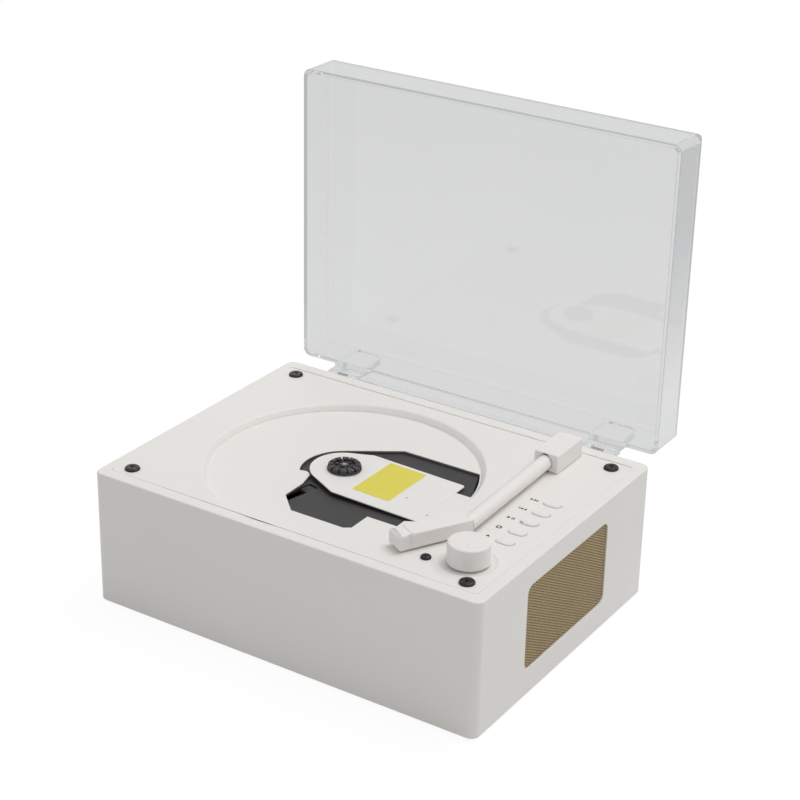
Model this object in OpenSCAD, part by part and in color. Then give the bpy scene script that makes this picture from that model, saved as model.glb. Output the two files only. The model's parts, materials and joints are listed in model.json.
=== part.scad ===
// Compact disc player with an open deck, a tone-arm shaped lever and a clear hinged dust lid.
// X runs to the right seen from the front, Y to the back, Z up off the underside of the case.

/* [Case] */
// Width of the case
case_w = 200; // [196:1:240]
// Depth of the case
case_d = 149.4; // [146:0.2:190]
// Height of the case
case_h = 65; // [62:1:90]
// Thickness of the side walls and floor
case_wall = 3; // [2:0.1:3.6]
// Radius of the upright corners
case_corner_r = 4; // [2:0.5:8]
// Width of the rim beside the deck
rim_side = 5; // [4:0.1:6]
// Width of the rim in front of the deck
rim_front = 5.7; // [5.2:0.1:6]
// Width of the rim behind the deck
rim_back = 7.3; // [5:0.1:9]
// Width of the ledge that carries the deck
ledge_w = 2; // [1.5:0.1:2.4]
// Depth of the ledge below the deck
ledge_t = 3; // [2:0.5:3]

/* [Deck] */
// Thickness of the deck panel
deck_t = 2.4; // [2:0.1:3]
// Centre of the disc, left or right of the middle
disc_x = -12.8; // [-18:0.1:-10]
// Centre of the disc, in front of or behind the middle
disc_y = -5.2; // [-5.4:0.1:-4]
// Radius of the floor of the disc well
well_floor_r = 60.8; // [60.2:0.1:61.2]
// Radius of the lip of the disc well
well_lip_r = 63.3; // [62.4:0.1:63.4]
// Depth of the disc well
well_depth = 3.2; // [2.8:0.1:3.6]
// Thickness of the floor of the well
well_floor_t = 1.2; // [1:0.1:1.6]

/* [Pickup cover] */
// Radius of the round end of the cover, about the spindle
cover_r = 15.6; // [15:0.1:17]
// Thickness of the cover
cover_t = 1.2; // [1:0.1:1.4]
// Slope of the top of the cover
cover_slope = 1.3; // [0.8:0.1:1.6]
// Width of the sticker
label_w = 20.7; // [15:0.1:24]
// Depth of the sticker
label_d = 28.2; // [20:0.1:32]
// Thickness of the sticker
label_t = 0.12; // [0.1:0.01:0.2]

/* [Turntable and hub] */
// Height of the disc seat above the floor of the well
seat_above_floor = 2.1; // [1.9:0.1:2.4]
// Radius of the turntable
turntable_r = 7.9; // [7.5:0.1:8]
// Radius of the black hub flange
hub_flange_r = 8.05; // [7.8:0.05:8.4]
// Radius of the plug that centres the disc
hub_plug_r = 7.4; // [7.3:0.01:7.45]
// Thickness of a disc
disc_t = 1.2; // [1.1:0.1:1.3]
// Height of the crown of the hub above the disc
hub_crown = 0.8; // [0.6:0.1:1.2]
// Radius of the spindle
spindle_r = 1; // [0.8:0.1:1.4]

/* [Pickup mechanism] */
// Thickness of the chassis plate
chassis_t = 1.2; // [1:0.1:1.6]
// Gap between the chassis and the floor of the well
chassis_drop = 0.7; // [0.6:0.1:0.9]
// Direction in which the pickup travels, from the front towards the left
sled_angle = 13.5; // [11:0.5:15]
// Distance of the lens from the spindle at rest
lens_at_rest = 22; // [21.5:0.1:24]
// Travel of the pickup
sled_travel = 36; // [30:1:36]
// Radius of the lens
lens_r = 1.7; // [1.4:0.1:1.9]
// Radius of the guide rods
rod_r = 1.5; // [1.2:0.1:1.8]
// Distance of each guide rod from the line of the lens
rod_offset = 12.5; // [12:0.1:13]
// Radius of the feed screw
feed_r = 1.5; // [1.2:0.1:1.7]
// Lead of the feed screw
feed_lead = 6; // [3:0.5:6]
// Radius of the spindle motor
motor_r = 10; // [9:0.1:10.2]
// Height of the spindle motor
motor_h = 10; // [8:0.5:12]

/* [Volume knob] */
// Radius of the knob
knob_r = 9.1; // [8:0.1:10]
// Height of the knob above the deck
knob_h = 9.6; // [8:0.1:12]
// Distance of the knob from the right side of the case
knob_in = 21.6; // [21:0.1:23]
// Distance of the knob behind the front of the case
knob_front = 26.6; // [26.2:0.1:28.7]
// Radius of the scoop round the knob
scoop_r = 12.4; // [11:0.1:13]
// Radius of the shaft of the volume control
pot_shaft_r = 3; // [2.5:0.1:3.2]

/* [Buttons] */
// Length of a button
button_w = 8.1; // [7:0.1:9]
// Width of a button
button_d = 4.8; // [4:0.1:5.4]
// Height of a button above the deck
button_h = 1.1; // [0.9:0.1:2]
// Distance between the buttons
button_pitch = 10.1; // [9.6:0.1:10.4]
// Distance of the buttons from the right side of the case
button_in = 17.6; // [16:0.1:19]
// Distance of the hindmost button behind the front of the case
button_front = 90.1; // [86:0.1:92]
// How far a button goes down
button_travel = 0.8; // [0.5:0.1:0.9]

/* [Tone arm] */
// Distance of the pivot from the right side of the case
arm_in = 35.9; // [34:0.1:37]
// Distance of the pivot in front of the back of the case
arm_back = 22; // [21.7:0.1:24.7]
// Width of the pivot block
arm_block_w = 12.2; // [10:0.1:13]
// Length of the pivot block
arm_block_d = 23.4; // [20:0.1:24]
// Height of the pivot block
arm_block_h = 8.9; // [8:0.1:10]
// Radius of the tube
arm_tube_r = 3.4; // [2.8:0.1:3.8]
// Length of the straight tube
arm_tube_l = 67.5; // [64:0.5:70]
// Angle at which the headshell turns in
headshell_angle = 28; // [24:1:30]
// Length of the headshell
headshell_l = 35.6; // [32:0.1:37]
// Width of the headshell
headshell_w = 9; // [8:0.1:10]
// Height of the headshell
headshell_h = 8; // [7:0.1:9]

/* [Dust lid] */
// Height of the lid
lid_h = 22.1; // [20:0.1:30]
// Thickness of the lid
lid_wall = 2; // [1.6:0.1:2.6]
// How far the lid stands in from the sides of the case
lid_inset_x = 1.45; // [1:0.05:2]
// How far the lid stands in from the front and back of the case
lid_inset_y = 1.05; // [0.8:0.05:1.4]
// Radius of the outer edges of the lid
lid_edge_r = 3; // [2.2:0.1:4]
// Distance of the hinge axis behind the case
hinge_back = 3.7; // [3.7:0.1:4.4]
// Distance of the hinge axis below the top of the case
hinge_down = 4.6; // [4.4:0.1:5.4]
// Distance of each hinge from the side of the case
hinge_in = 29; // [24:0.5:40]
// Width of each hinge
hinge_w = 17; // [14:0.5:20]
// Radius of the hinge pins
hinge_pin_r = 1.25; // [1:0.05:1.5]

/* [Speaker] */
// Width of the grille
grille_w = 70.4; // [66:0.2:74]
// Height of the grille
grille_h = 40.6; // [38:0.2:41]
// Height of the middle of the grille above the underside
grille_z = 33.3; // [32:0.1:36]
// Thickness of the grille
grille_t = 1; // [0.8:0.1:1.2]
// Distance between the holes of the grille
grille_pitch = 3.2; // [2.8:0.1:4]
// Radius of the holes of the grille
grille_hole_r = 1; // [0.8:0.1:1.2]
// Depth of the speaker behind the wall
speaker_depth = 24; // [20:0.5:26]

/* [Fixings] */
// Radius of the heads of the deck screws
deck_screw_head_r = 3.5; // [3:0.05:4]
// Distance of the deck screws from the sides of the case
deck_screw_in = 13; // [12:0.5:15]
// Distance of the front deck screws behind the front edge of the deck
deck_screw_front = 5.7; // [5.5:0.1:8]
// Distance of the back deck screws in front of the back edge of the deck
deck_screw_back = 6.7; // [6.5:0.1:9]
// Distance of the small screw from the right side of the case
rest_screw_in = 37.6; // [37:0.1:38]
// Distance of the small screw behind the front of the case
rest_screw_front = 19.2; // [17:0.1:20]
// Radius of a rubber foot
foot_r = 6; // [4:0.5:8]
// Height of a rubber foot
foot_h = 1; // [0.8:0.1:3]
// Distance between the two keyholes
keyhole_spacing = 120; // [110:1:130]
// Radius of the wide end of a keyhole
keyhole_r = 4.5; // [4:0.1:5]
// Half width of the narrow end of a keyhole
keyhole_slot_r = 2.25; // [1.8:0.05:2.5]
// Length of the narrow end of a keyhole
keyhole_travel = 9; // [8:0.5:12]

/* [Hidden] */
$fn = 64;

// Clearances: a running fit, a gap between pieces that move apart, and a sliver for clean cuts
run_fit = 0.05;
gap = 0.3;
cut = 0.01;

// Deck levels and edges
deck_top = case_h;
deck_under = deck_top - deck_t;
well_z = deck_top - well_depth;
floor_under = well_z - well_floor_t;
deck_x = case_w / 2 - rim_side;
deck_front = -case_d / 2 + rim_front;
deck_back = case_d / 2 - rim_back;
deck_corner_r = 2.5;
deck_fit = 0.1;
inner_corner_r = 1.5;
deck_screw_ys = [deck_front + deck_screw_front, deck_back - deck_screw_back];
dish_r = well_lip_r + 1;
well_round = 0.9;
well_bevel = 0.5;

// Pickup opening, measured from the spindle
opening_back = 32.4;
opening_r = well_floor_r - 0.2;
opening_step = 10.9;
cover_end = 52;
cover_back = 18.9;
cover_front = -21.2;
cover_gap = 0.1;
cover_foot_x = 19;
cover_foot_in = 4;
cover_foot_r = 2;
cover_foot_h = 2.6;
opening_hub_r = 20.2;
bump_x = -14;
bump_y = -14;
bump_gap = 0.2;
bump_r = norm([bump_x, bump_y]) - cover_r - bump_gap;
bump_end = 130;
hub_arc_start = 209;
hub_arc_end = 125.4;
arc_steps = 14;

// Hub levels
seat_z = well_z + seat_above_floor;
hub_hole_r = hub_flange_r + 0.45;
turntable_t = 1.5;
hub_flange_t = 0.7;
chassis_top = floor_under - chassis_drop;
chassis_under = chassis_top - chassis_t;
hub_neck_r = 5;
motor_base = chassis_under - motor_h;
spindle_depth = 8;
hub_total = disc_t + hub_crown;

// Small screw beside the headshell
rest_screw_x = case_w / 2 - rest_screw_in;
rest_screw_y = -case_d / 2 + rest_screw_front;
rest_screw_head_r = 2.4;
rest_screw_shank_r = 1.2;
rest_boss_r = 3.2;

// Chassis outline, measured from the spindle
chassis_left = -42;
chassis_right = rest_screw_x - disc_x - rest_boss_r - 7;
chassis_front = deck_front + ledge_w + 0.4 - disc_y;
chassis_back = 38.4;
chassis_corner_r = 4;
damper_right = chassis_right - 5;
damper_places = [[-36, -38], [-20.5, 33.5], [damper_right, chassis_front + 6.4], [damper_right, 33.5]];
damper_post_r = 2.4;
damper_waist_r = 3.9;
damper_flange_r = 5;
damper_seat = 0.1;
damper_flange_t = chassis_drop - damper_seat;
damper_lower_t = 1.2;
damper_screw_r = 1.1;
damper_head_t = 1.2;
damper_hole_l = floor_under - chassis_under + damper_lower_t - 0.4;
damper_screw_l = damper_hole_l - 0.1;

// Pickup sled: r is the distance from the spindle and the cross direction is square to the travel
rod_drop = 5.2;
rod_z = chassis_under - rod_drop;
rod_inner = 6;
rod_outer = lens_at_rest + sled_travel + 2.3;
rod_block = 3;
rod_block_w = 5;
sled_back = 9;
sled_mid = 1;
sled_nose = 4.5;
sled_half = rod_offset + 1.5 + 1.2;
sled_head_half = 6.5;
sled_t = 6;
lens_top = floor_under - 0.4;
lens_h = 1.2;
turret_r = lens_r + 0.6;
slot_half = turret_r + 0.5;
feed_offset = rod_offset + 8.3;
feed_z = rod_z;
feed_inner = lens_at_rest - sled_back - 3;
feed_outer = rod_outer - rod_block / 2;
feed_motor_l = 12;
feed_motor_r = 5;
finger_gap = 0.4;
finger_t = 2.4;
finger_w = 4;
slot_lead = 4;
slot_run = 3;
block_under = 1.5;
feed_plate_t = 1.2;
feed_tail = 6.5;
thread_depth = 0.25;
thread_starts = 2;
thread_end = 4;

// Button and knob parts under the deck
button_x = case_w / 2 - button_in;
button_back_y = -case_d / 2 + button_front;
knob_x = case_w / 2 - knob_in;
knob_y = -case_d / 2 + knob_front;
button_flange = 1.1;
button_flange_t = 1.1;
button_hole_gap = gap;
stem_r = 1.5;
switch_reach = button_travel + gap;
switch_size = 6;
switch_h = 2.2;
plunger_h = 0.5;
plunger_r = 1.6;
stem_end = deck_under - gap - button_flange_t - 1.4;
board_top = stem_end - switch_reach - plunger_h - switch_h;
board_t = 1.6;
button_board_w = 17;
button_board_x0 = button_x - 9;
button_screw_x = button_board_x0 + 2.5;
button_screw_r = 0.9;
button_screw_depth = 6;
button_boss_r = 2.2;
board_margin = 6;
button_count = 5;
button_board_y0 = button_back_y - (button_count - 1) * button_pitch - board_margin;
button_board_y1 = button_back_y + board_margin;
button_screw_ys = [button_board_y0 + board_margin / 2, button_board_y1 - board_margin / 2];
button_edge = 0.4;
button_crown = 0.5;
pot_r = 8;
pot_h = 7;
pot_bush_r = pot_shaft_r + 1;
pot_top = deck_under;
pot_shaft_depth = 5;
knob_fit = 0.02;
knob_top_wall = 2;
knob_edge_r = 1;
scoop_depth = 0.8;
knob_mark_angle = -70;

// Tone arm levels
arm_x = case_w / 2 - arm_in;
arm_y = case_d / 2 - arm_back;
arm_base = deck_top + gap;
arm_axis_z = arm_base + 4.2;
arm_post_r = 3;
arm_boss_r = 5.5;
arm_boss_l = 5.6;
arm_clip_t = 1.2;
arm_tube_lean = 1.5;
arm_tube_side = -0.3;
arm_tube_seat = 7;
arm_post_seat = 2.9;
headshell_groove = 1.6;
headshell_groove_at = 4.5;
headshell_rise = 0.9;
headshell_edge_r = 1.4;
headshell_nose = 1.4;

// Lid and hinge
hinge_x = case_w / 2 - hinge_in;
hinge_y = case_d / 2 + hinge_back;
hinge_z = case_h - hinge_down;
lid_w = case_w - 2 * lid_inset_x;
lid_d = case_d - 2 * lid_inset_y;
lid_rim_z = case_h + gap;
knuckle_r = hinge_back - 0.4;
bracket_knuckle_w = 6;
bracket_knuckle_r = knuckle_r - 0.4;
bracket_t = 1.3;
bracket_w = 14;
bracket_drop = 15;
lug_t = hinge_back;
lug_rise = 18.7;
lug_corner_r = 4;
lug_slot = bracket_knuckle_w + 2 * gap;
strip_t = 2;
strip_rise = 1.4;
bracket_screw_x = 4.4;
bracket_screw_r = 1.2;
bracket_screw_head_r = 2.2;
bracket_screw_drop = 12;

// Speaker
grille_corner_r = 4;
speaker_corner_r = 2 * grille_corner_r;
grille_recess = 1.4;
grille_frame = 1.4;
speaker_hole_inset = 3.2;
speaker_flange_t = 1.2;
speaker_flange_inset = 0.2;
speaker_basket_r = 17;
speaker_magnet_r = 14;
speaker_magnet_t = 8;
speaker_wall = 1.2;
speaker_window = 8;
speaker_sill = 3;
speaker_post_x = 4;
cone_t = 0.5;
cone_edge = 2;

// Screws, bosses and boards
screw_head_h = 1.2;
screw_play = 0.25;
cross_depth = 0.8;
screw_shank_r = 1.45;
boss_r = 4.5;
boss_hole_depth = 14;
deck_screw_l = 12;
foot_in = 14;
foot_edge = 0.4;
main_x0 = -50;
main_x1 = 44;
main_y0 = -60;
main_y1 = 62;
main_z = 8;
main_screw_in = 5;
main_boss_r = 3;
power_x = -32;
audio_x = -12;
power_w = 9;
power_h = 11;
power_depth = 14;
power_bore_r = 3.2;
power_wall_r = 5;
audio_w = 8;
audio_h = 6.4;
audio_depth = 13;
audio_bore_r = 1.8;
audio_nose_r = 3;
audio_nose_l = case_wall - 0.4;
socket_hole_gap = 0.3;
floor_recess = 1;

// Blocks on the main board: place of the corner, width, depth and height
board_blocks = [[-20, -10, 14, 14, 1.6], [8, -14, 10, 18, 1.8], [10, 20, 8, 6, 1.5],
    [24, -50, 12, 20, 4], [-42, -48, 18, 6, 5]];
can_x = -38;
can_y = 28;
can_pitch = 11;
can_r = 4;
can_h = 11;

function arc(r, a0, a1, n, cx = 0, cy = 0) =
    [for (i = [0 : n]) let (a = a0 + (a1 - a0) * i / n) [cx + r * cos(a), cy + r * sin(a)]];

// Angle at which a line from a point touches a circle about the spindle, on its left side
function touch(p, r, side) = atan2(p[1], p[0]) + side * acos(r / norm(p));

opening_points = concat(
    [[11.3, opening_back]],
    arc(opening_r, asin(opening_back / opening_r), asin(opening_step / opening_r), arc_steps),
    [[cover_end + cover_gap, opening_step], [cover_end + cover_gap, cover_front],
        [47.5, -24], [47.5, -29.7], [32.4, -29.7], [32.4, -41.8], [29.4, -43.9],
        [2.2, -43.9], [-8.2, -33.6], [-8.3, -20.4]],
    arc(bump_r, 0, bump_end, arc_steps, bump_x, bump_y),
    arc(opening_hub_r, hub_arc_start, hub_arc_end, arc_steps));

cover_corner_back = [3.7, cover_back];
cover_corner_front = [7.5, cover_front];
cover_points = concat(
    [[cover_end, cover_front]],
    arc(1.5, 0, 90, 6, cover_end - 1.5, cover_back - 1.5),
    [cover_corner_back],
    arc(cover_r, touch(cover_corner_back, cover_r, 1), 360 + touch(cover_corner_front, cover_r, -1),
        2 * arc_steps),
    [cover_corner_front]);

module rounded_rect(w, d, r) {
    square([w - 2 * r, d], center = true);
    square([w, d - 2 * r], center = true);
    for (x = [-1, 1], y = [-1, 1])
        translate([x * (w / 2 - r), y * (d / 2 - r)]) circle(r);
}

module slab(x0, x1, y0, y1, r, t) {
    translate([(x0 + x1) / 2, (y0 + y1) / 2, 0])
        linear_extrude(t) rounded_rect(x1 - x0, y1 - y0, r);
}

module oval(w, d, t) {
    linear_extrude(t) {
        square([w - d, d], center = true);
        for (x = [-1, 1]) translate([x * (w - d) / 2, 0]) circle(d / 2);
    }
}

module at_disc(z = 0) {
    translate([disc_x, disc_y, z]) children();
}

// Turns the pickup's own directions: its travel along -Y, its cross direction along X
module at_sled(z = 0) {
    translate([disc_x, disc_y, z]) rotate([0, 0, -sled_angle]) children();
}

module at_deck_screws(z = 0) {
    for (x = [-1, 1], y = deck_screw_ys)
        translate([x * (case_w / 2 - deck_screw_in), y, z]) children();
}

module at_rest_screw(z = 0) {
    translate([rest_screw_x, rest_screw_y, z]) children();
}

module at_knob(z = 0) {
    translate([knob_x, knob_y, z]) children();
}

module at_arm(z = 0) {
    translate([arm_x, arm_y, z]) children();
}

module at_button_screws(z = 0) {
    for (y = button_screw_ys) translate([button_screw_x, y, z]) children();
}

module at_main_screws(z = 0) {
    for (x = [main_x0 + main_screw_in, main_x1 - main_screw_in],
            y = [main_y0 + main_screw_in, main_y1 - main_screw_in])
        translate([x, y, z]) children();
}

module at_feet(z = 0) {
    for (x = [-1, 1], y = [-1, 1])
        translate([x * (case_w / 2 - foot_in), y * (case_d / 2 - foot_in), z]) children();
}

module at_buttons(z = 0) {
    for (i = [0 : button_count - 1])
        translate([button_x, button_back_y - i * button_pitch, z]) children();
}

module at_dampers(z = 0) {
    for (p = damper_places) translate([disc_x + p[0], disc_y + p[1], z]) children();
}

module at_speaker(x) {
    translate([x, 0, grille_z]) rotate([90, 0, 90]) children();
}

module at_speaker_screws() {
    for (y = [-1, 1], z = [-1, 1])
        translate([y * (grille_w / 2 - speaker_post_x), z * (grille_h / 2 - speaker_post_x), 0]) children();
}

module pan_screw(head_r, head_h, shank_r, shank_l) {
    rotate_extrude() {
        translate([0, -shank_l]) square([shank_r, shank_l + cut]);
        difference() {
            union() {
                square([head_r, head_h / 2]);
                translate([0, head_h / 2]) square([head_r - head_h / 2, head_h / 2]);
                translate([head_r - head_h / 2, head_h / 2]) circle(head_h / 2);
            }
            translate([0, -head_r]) square([2 * head_r, head_r]);
            translate([-2 * head_r, -head_r]) square([2 * head_r, 4 * head_r]);
        }
    }
}

module cross_recess(size, depth) {
    for (a = [0, 90]) rotate([0, 0, a])
        translate([-size / 2, -size / 8, -depth]) cube([size, size / 4, 2 * depth]);
}

module keyhole(t) {
    translate([0, 0, -cut]) cylinder(r = keyhole_r, h = t + 2 * cut);
    translate([-keyhole_slot_r, 0, -cut]) cube([2 * keyhole_slot_r, keyhole_travel, t + 2 * cut]);
    translate([0, keyhole_travel, -cut]) cylinder(r = keyhole_slot_r, h = t + 2 * cut);
}

module case_body() {
    inner_w = case_w - 2 * case_wall;
    inner_d = case_d - 2 * case_wall;
    ledge_z = deck_under - ledge_t;
    color("whitesmoke") difference() {
        union() {
            difference() {
                slab(-case_w / 2, case_w / 2, -case_d / 2, case_d / 2, case_corner_r, case_h);
                translate([0, 0, case_wall])
                    slab(-inner_w / 2, inner_w / 2, -inner_d / 2, inner_d / 2, inner_corner_r,
                        ledge_z - case_wall);
                translate([0, 0, ledge_z - cut])
                    slab(-deck_x + ledge_w, deck_x - ledge_w, deck_front + ledge_w, deck_back - ledge_w,
                        inner_corner_r, ledge_t + 2 * cut);
            }
            at_deck_screws(case_wall - cut) cylinder(r = boss_r, h = deck_under - case_wall + cut);
            at_rest_screw(case_wall - cut) cylinder(r = rest_boss_r, h = deck_under - case_wall + cut);
            at_main_screws(case_wall - cut) cylinder(r = main_boss_r, h = main_z - case_wall + cut);
            at_button_screws(case_wall - cut)
                cylinder(r = button_boss_r, h = board_top - board_t - case_wall + cut);
        }
        translate([0, 0, deck_under])
            slab(-deck_x - deck_fit, deck_x + deck_fit, deck_front - deck_fit, deck_back + deck_fit,
                deck_corner_r, deck_t + cut);
        at_disc(floor_under - gap) cylinder(r = dish_r + gap, h = well_depth + well_floor_t + gap + cut);
        at_deck_screws(deck_under - boss_hole_depth)
            cylinder(r = screw_shank_r + run_fit, h = boss_hole_depth + cut);
        at_rest_screw(deck_under - boss_hole_depth)
            cylinder(r = rest_screw_shank_r + run_fit, h = boss_hole_depth + cut);
        at_main_screws(case_wall - floor_recess) cylinder(r = bracket_screw_r + run_fit, h = main_z);
        at_button_screws(board_top - board_t - button_screw_depth)
            cylinder(r = button_screw_r + run_fit, h = button_screw_depth + cut);
        for (x = [-1, 1]) translate([x * keyhole_spacing / 2, 0, 0]) keyhole(case_wall);
        at_speaker(case_w / 2 - grille_recess)
            linear_extrude(grille_recess + cut)
                rounded_rect(grille_w, grille_h, grille_corner_r);
        at_speaker(case_w / 2 - case_wall - cut)
            linear_extrude(case_wall)
                rounded_rect(grille_w - 2 * speaker_hole_inset, grille_h - 2 * speaker_hole_inset,
                    speaker_corner_r);
        for (s = [-1, 1], x = [-1, 1])
            translate([s * hinge_x + x * bracket_screw_x, case_d / 2 - case_wall - cut,
                    hinge_z - bracket_screw_drop])
                rotate([-90, 0, 0]) cylinder(r = bracket_screw_r + run_fit, h = case_wall + 2 * cut);
        translate([power_x, case_d / 2 - case_wall - cut, main_z + board_t + power_h / 2])
            rotate([-90, 0, 0]) cylinder(r = power_wall_r, h = case_wall + 2 * cut);
        translate([audio_x, case_d / 2 - case_wall - cut, main_z + board_t + audio_h / 2])
            rotate([-90, 0, 0]) cylinder(r = audio_nose_r + socket_hole_gap, h = case_wall + 2 * cut);
    }
}

module well_cut() {
    rotate_extrude($fn = 180) {
        square([well_floor_r, well_depth + cut]);
        translate([0, well_round])
            square([well_floor_r + well_round, well_depth - well_round + cut]);
        polygon([[well_floor_r, well_round], [well_floor_r + well_round, well_round],
            [well_lip_r - well_bevel, well_depth - well_round], [well_lip_r, well_depth],
            [well_lip_r, well_depth + cut],
            [well_floor_r, well_depth + cut]]);
        translate([well_floor_r, well_round]) intersection() {
            circle(well_round);
            translate([0, -well_round]) square([well_round, well_round + cut]);
        }
    }
}

module deck_panel() {
    color("white") difference() {
        union() {
            translate([0, 0, deck_under])
                slab(-deck_x, deck_x, deck_front, deck_back, deck_corner_r, deck_t);
            at_disc(floor_under) cylinder(r = dish_r, h = deck_under - floor_under + cut, $fn = 180);
            at_arm(deck_under - arm_boss_l) cylinder(r = arm_boss_r, h = arm_boss_l + cut);
            at_dampers(chassis_under - damper_lower_t)
                cylinder(r = damper_post_r, h = deck_under - chassis_under + damper_lower_t + cut);
            at_dampers(floor_under - damper_seat)
                cylinder(r = damper_flange_r, h = deck_under - floor_under + damper_seat + cut);
        }
        at_disc(well_z) well_cut();
        at_disc(floor_under - cut) linear_extrude(well_floor_t + 2 * cut) polygon(opening_points);
        at_deck_screws(deck_under - cut) cylinder(r = screw_shank_r + screw_play, h = deck_t + 2 * cut);
        at_rest_screw(deck_under - cut) cylinder(r = rest_screw_shank_r + screw_play, h = deck_t + 2 * cut);
        at_arm(deck_under - arm_boss_l - cut)
            cylinder(r = arm_post_r + run_fit, h = arm_boss_l + deck_t + 2 * cut);
        at_knob(pot_top - cut) cylinder(r = pot_bush_r + deck_fit, h = deck_top - pot_top + 2 * cut);
        at_knob(deck_top - scoop_depth)
            rotate_extrude($fn = 96) polygon([[0, 0], [knob_r + gap, 0], [scoop_r - 1, scoop_depth / 3],
                [scoop_r, scoop_depth], [scoop_r, 2 * scoop_depth], [0, 2 * scoop_depth]]);
        at_buttons(deck_under - cut)
            oval(button_w + 2 * button_hole_gap, button_d + 2 * button_hole_gap, deck_t + 2 * cut);
        at_dampers(chassis_under - damper_lower_t - cut)
            cylinder(r = damper_screw_r + run_fit, h = damper_hole_l);
    }
}

module deck_screws() {
    color("black") at_deck_screws(deck_top) difference() {
        pan_screw(deck_screw_head_r, screw_head_h, screw_shank_r, deck_screw_l);
        translate([0, 0, screw_head_h]) cross_recess(deck_screw_head_r, cross_depth);
    }
}

module rest_screw() {
    color("black") at_rest_screw(deck_top) difference() {
        pan_screw(rest_screw_head_r, screw_head_h, rest_screw_shank_r, deck_screw_l);
        translate([0, 0, screw_head_h]) cross_recess(rest_screw_head_r, cross_depth);
    }
}

module rubber_feet() {
    color("dimgray") at_feet(-foot_h)
        rotate_extrude() polygon([[0, 0], [foot_r - foot_edge, 0], [foot_r, foot_edge], [foot_r, foot_h],
            [0, foot_h]]);
}

// Sheet with staggered round holes, at a wider pitch than the real one
module speaker_grille() {
    frame_w = grille_w - 2 * deck_fit;
    frame_h = grille_h - 2 * deck_fit;
    column_pitch = grille_pitch * sqrt(3) / 2;
    columns = floor((frame_w / 2 - grille_frame - grille_hole_r) / column_pitch);
    color("goldenrod") at_speaker(case_w / 2 - grille_recess) linear_extrude(grille_t) difference() {
        rounded_rect(frame_w, frame_h, grille_corner_r - deck_fit);
        for (c = [-columns : columns]) {
            shift = abs(c) % 2 == 0 ? 0 : grille_pitch / 2;
            short = abs(c) > columns - 2 ? grille_corner_r / 2 : 0;
            reach = frame_h / 2 - grille_frame - grille_hole_r - short;
            rows = floor((reach - shift) / grille_pitch);
            for (r = [-rows - (shift > 0 ? 1 : 0) : rows])
                translate([c * column_pitch, r * grille_pitch + shift]) circle(grille_hole_r, $fn = 24);
        }
    }
}

module speaker_basket() {
    flange_w = grille_w - 2 * speaker_flange_inset;
    flange_h = grille_h - 2 * speaker_flange_inset;
    throat = speaker_depth - speaker_magnet_t;
    color("silver") at_speaker(case_w / 2 - case_wall - speaker_flange_t) difference() {
        union() {
            linear_extrude(speaker_flange_t) rounded_rect(flange_w, flange_h, speaker_corner_r);
            translate([0, 0, -throat + speaker_flange_t])
                cylinder(r1 = speaker_magnet_r, r2 = speaker_basket_r, h = throat - cut);
        }
        translate([0, 0, -throat + speaker_flange_t + 1])
            cylinder(r1 = speaker_magnet_r - speaker_wall, r2 = speaker_basket_r - speaker_wall, h = throat);
        translate([0, 0, -throat]) cylinder(r = speaker_magnet_r / 2, h = throat);
        for (a = [45 : 90 : 315]) rotate([0, 0, a])
            translate([speaker_basket_r - speaker_window / 2, -speaker_window / 2,
                    -throat + speaker_flange_t + speaker_sill])
                cube([speaker_window, speaker_window, throat - 2 * speaker_sill]);
        at_speaker_screws() translate([0, 0, -cut]) cylinder(r = bracket_screw_r + screw_play,
            h = speaker_flange_t + 2 * cut);
    }
}

module speaker_cone() {
    depth = speaker_depth - speaker_magnet_t - speaker_flange_t - 1.5;
    mouth = speaker_basket_r - speaker_wall - cone_edge / 2;
    color("dimgray") at_speaker(case_w / 2 - case_wall - speaker_flange_t) rotate_extrude()
        polygon([[0, -depth + 2], [speaker_magnet_r / 2 - 1, -depth], [mouth - cone_edge, -cone_t],
            [mouth, -cone_t], [mouth, 0], [mouth - cone_edge, 0],
            [speaker_magnet_r / 2 - 1, -depth + cone_t], [0, -depth + 2 + cone_t]]);
}

module speaker_magnet() {
    color("gray") at_speaker(case_w / 2 - case_wall - speaker_depth)
        cylinder(r = speaker_magnet_r, h = speaker_magnet_t);
}

module speaker_screws() {
    color("silver") at_speaker(case_w / 2 - case_wall - speaker_flange_t) at_speaker_screws()
        rotate([180, 0, 0]) pan_screw(bracket_screw_head_r, screw_head_h, bracket_screw_r, speaker_flange_t);
}

module at_hinges() {
    for (s = [-1, 1]) translate([s * hinge_x, hinge_y, hinge_z]) children();
}

module hinge_brackets() {
    color("silver") at_hinges() difference() {
        union() {
            translate([-bracket_w / 2, -hinge_back, -bracket_drop])
                cube([bracket_w, bracket_t, bracket_drop - knuckle_r - 0.4]);
            translate([-bracket_knuckle_w / 2, -hinge_back, -knuckle_r - 1.4])
                cube([bracket_knuckle_w, bracket_t, knuckle_r + 1.4]);
            rotate([90, 0, 90]) linear_extrude(bracket_knuckle_w, center = true)
                polygon([[-hinge_back, -bracket_drop + 6], [-hinge_back + bracket_t, -bracket_drop + 6],
                    [bracket_knuckle_r * 0.7, -bracket_knuckle_r * 0.7], [0, 0], [-hinge_back, 0]]);
            rotate([0, 90, 0]) cylinder(r = bracket_knuckle_r, h = bracket_knuckle_w, center = true);
        }
        rotate([0, 90, 0]) cylinder(r = hinge_pin_r + 0.02, h = bracket_w, center = true);
        for (x = [-1, 1]) translate([x * bracket_screw_x, -hinge_back - cut, -bracket_screw_drop])
            rotate([-90, 0, 0]) cylinder(r = bracket_screw_r + screw_play, h = bracket_t + 2 * cut);
    }
}

module hinge_bracket_screws() {
    color("silver") at_hinges() for (x = [-1, 1])
        translate([x * bracket_screw_x, -hinge_back + bracket_t, -bracket_screw_drop])
            rotate([-90, 0, 0])
                pan_screw(bracket_screw_head_r, screw_head_h, bracket_screw_r, bracket_t + case_wall);
}

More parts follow.
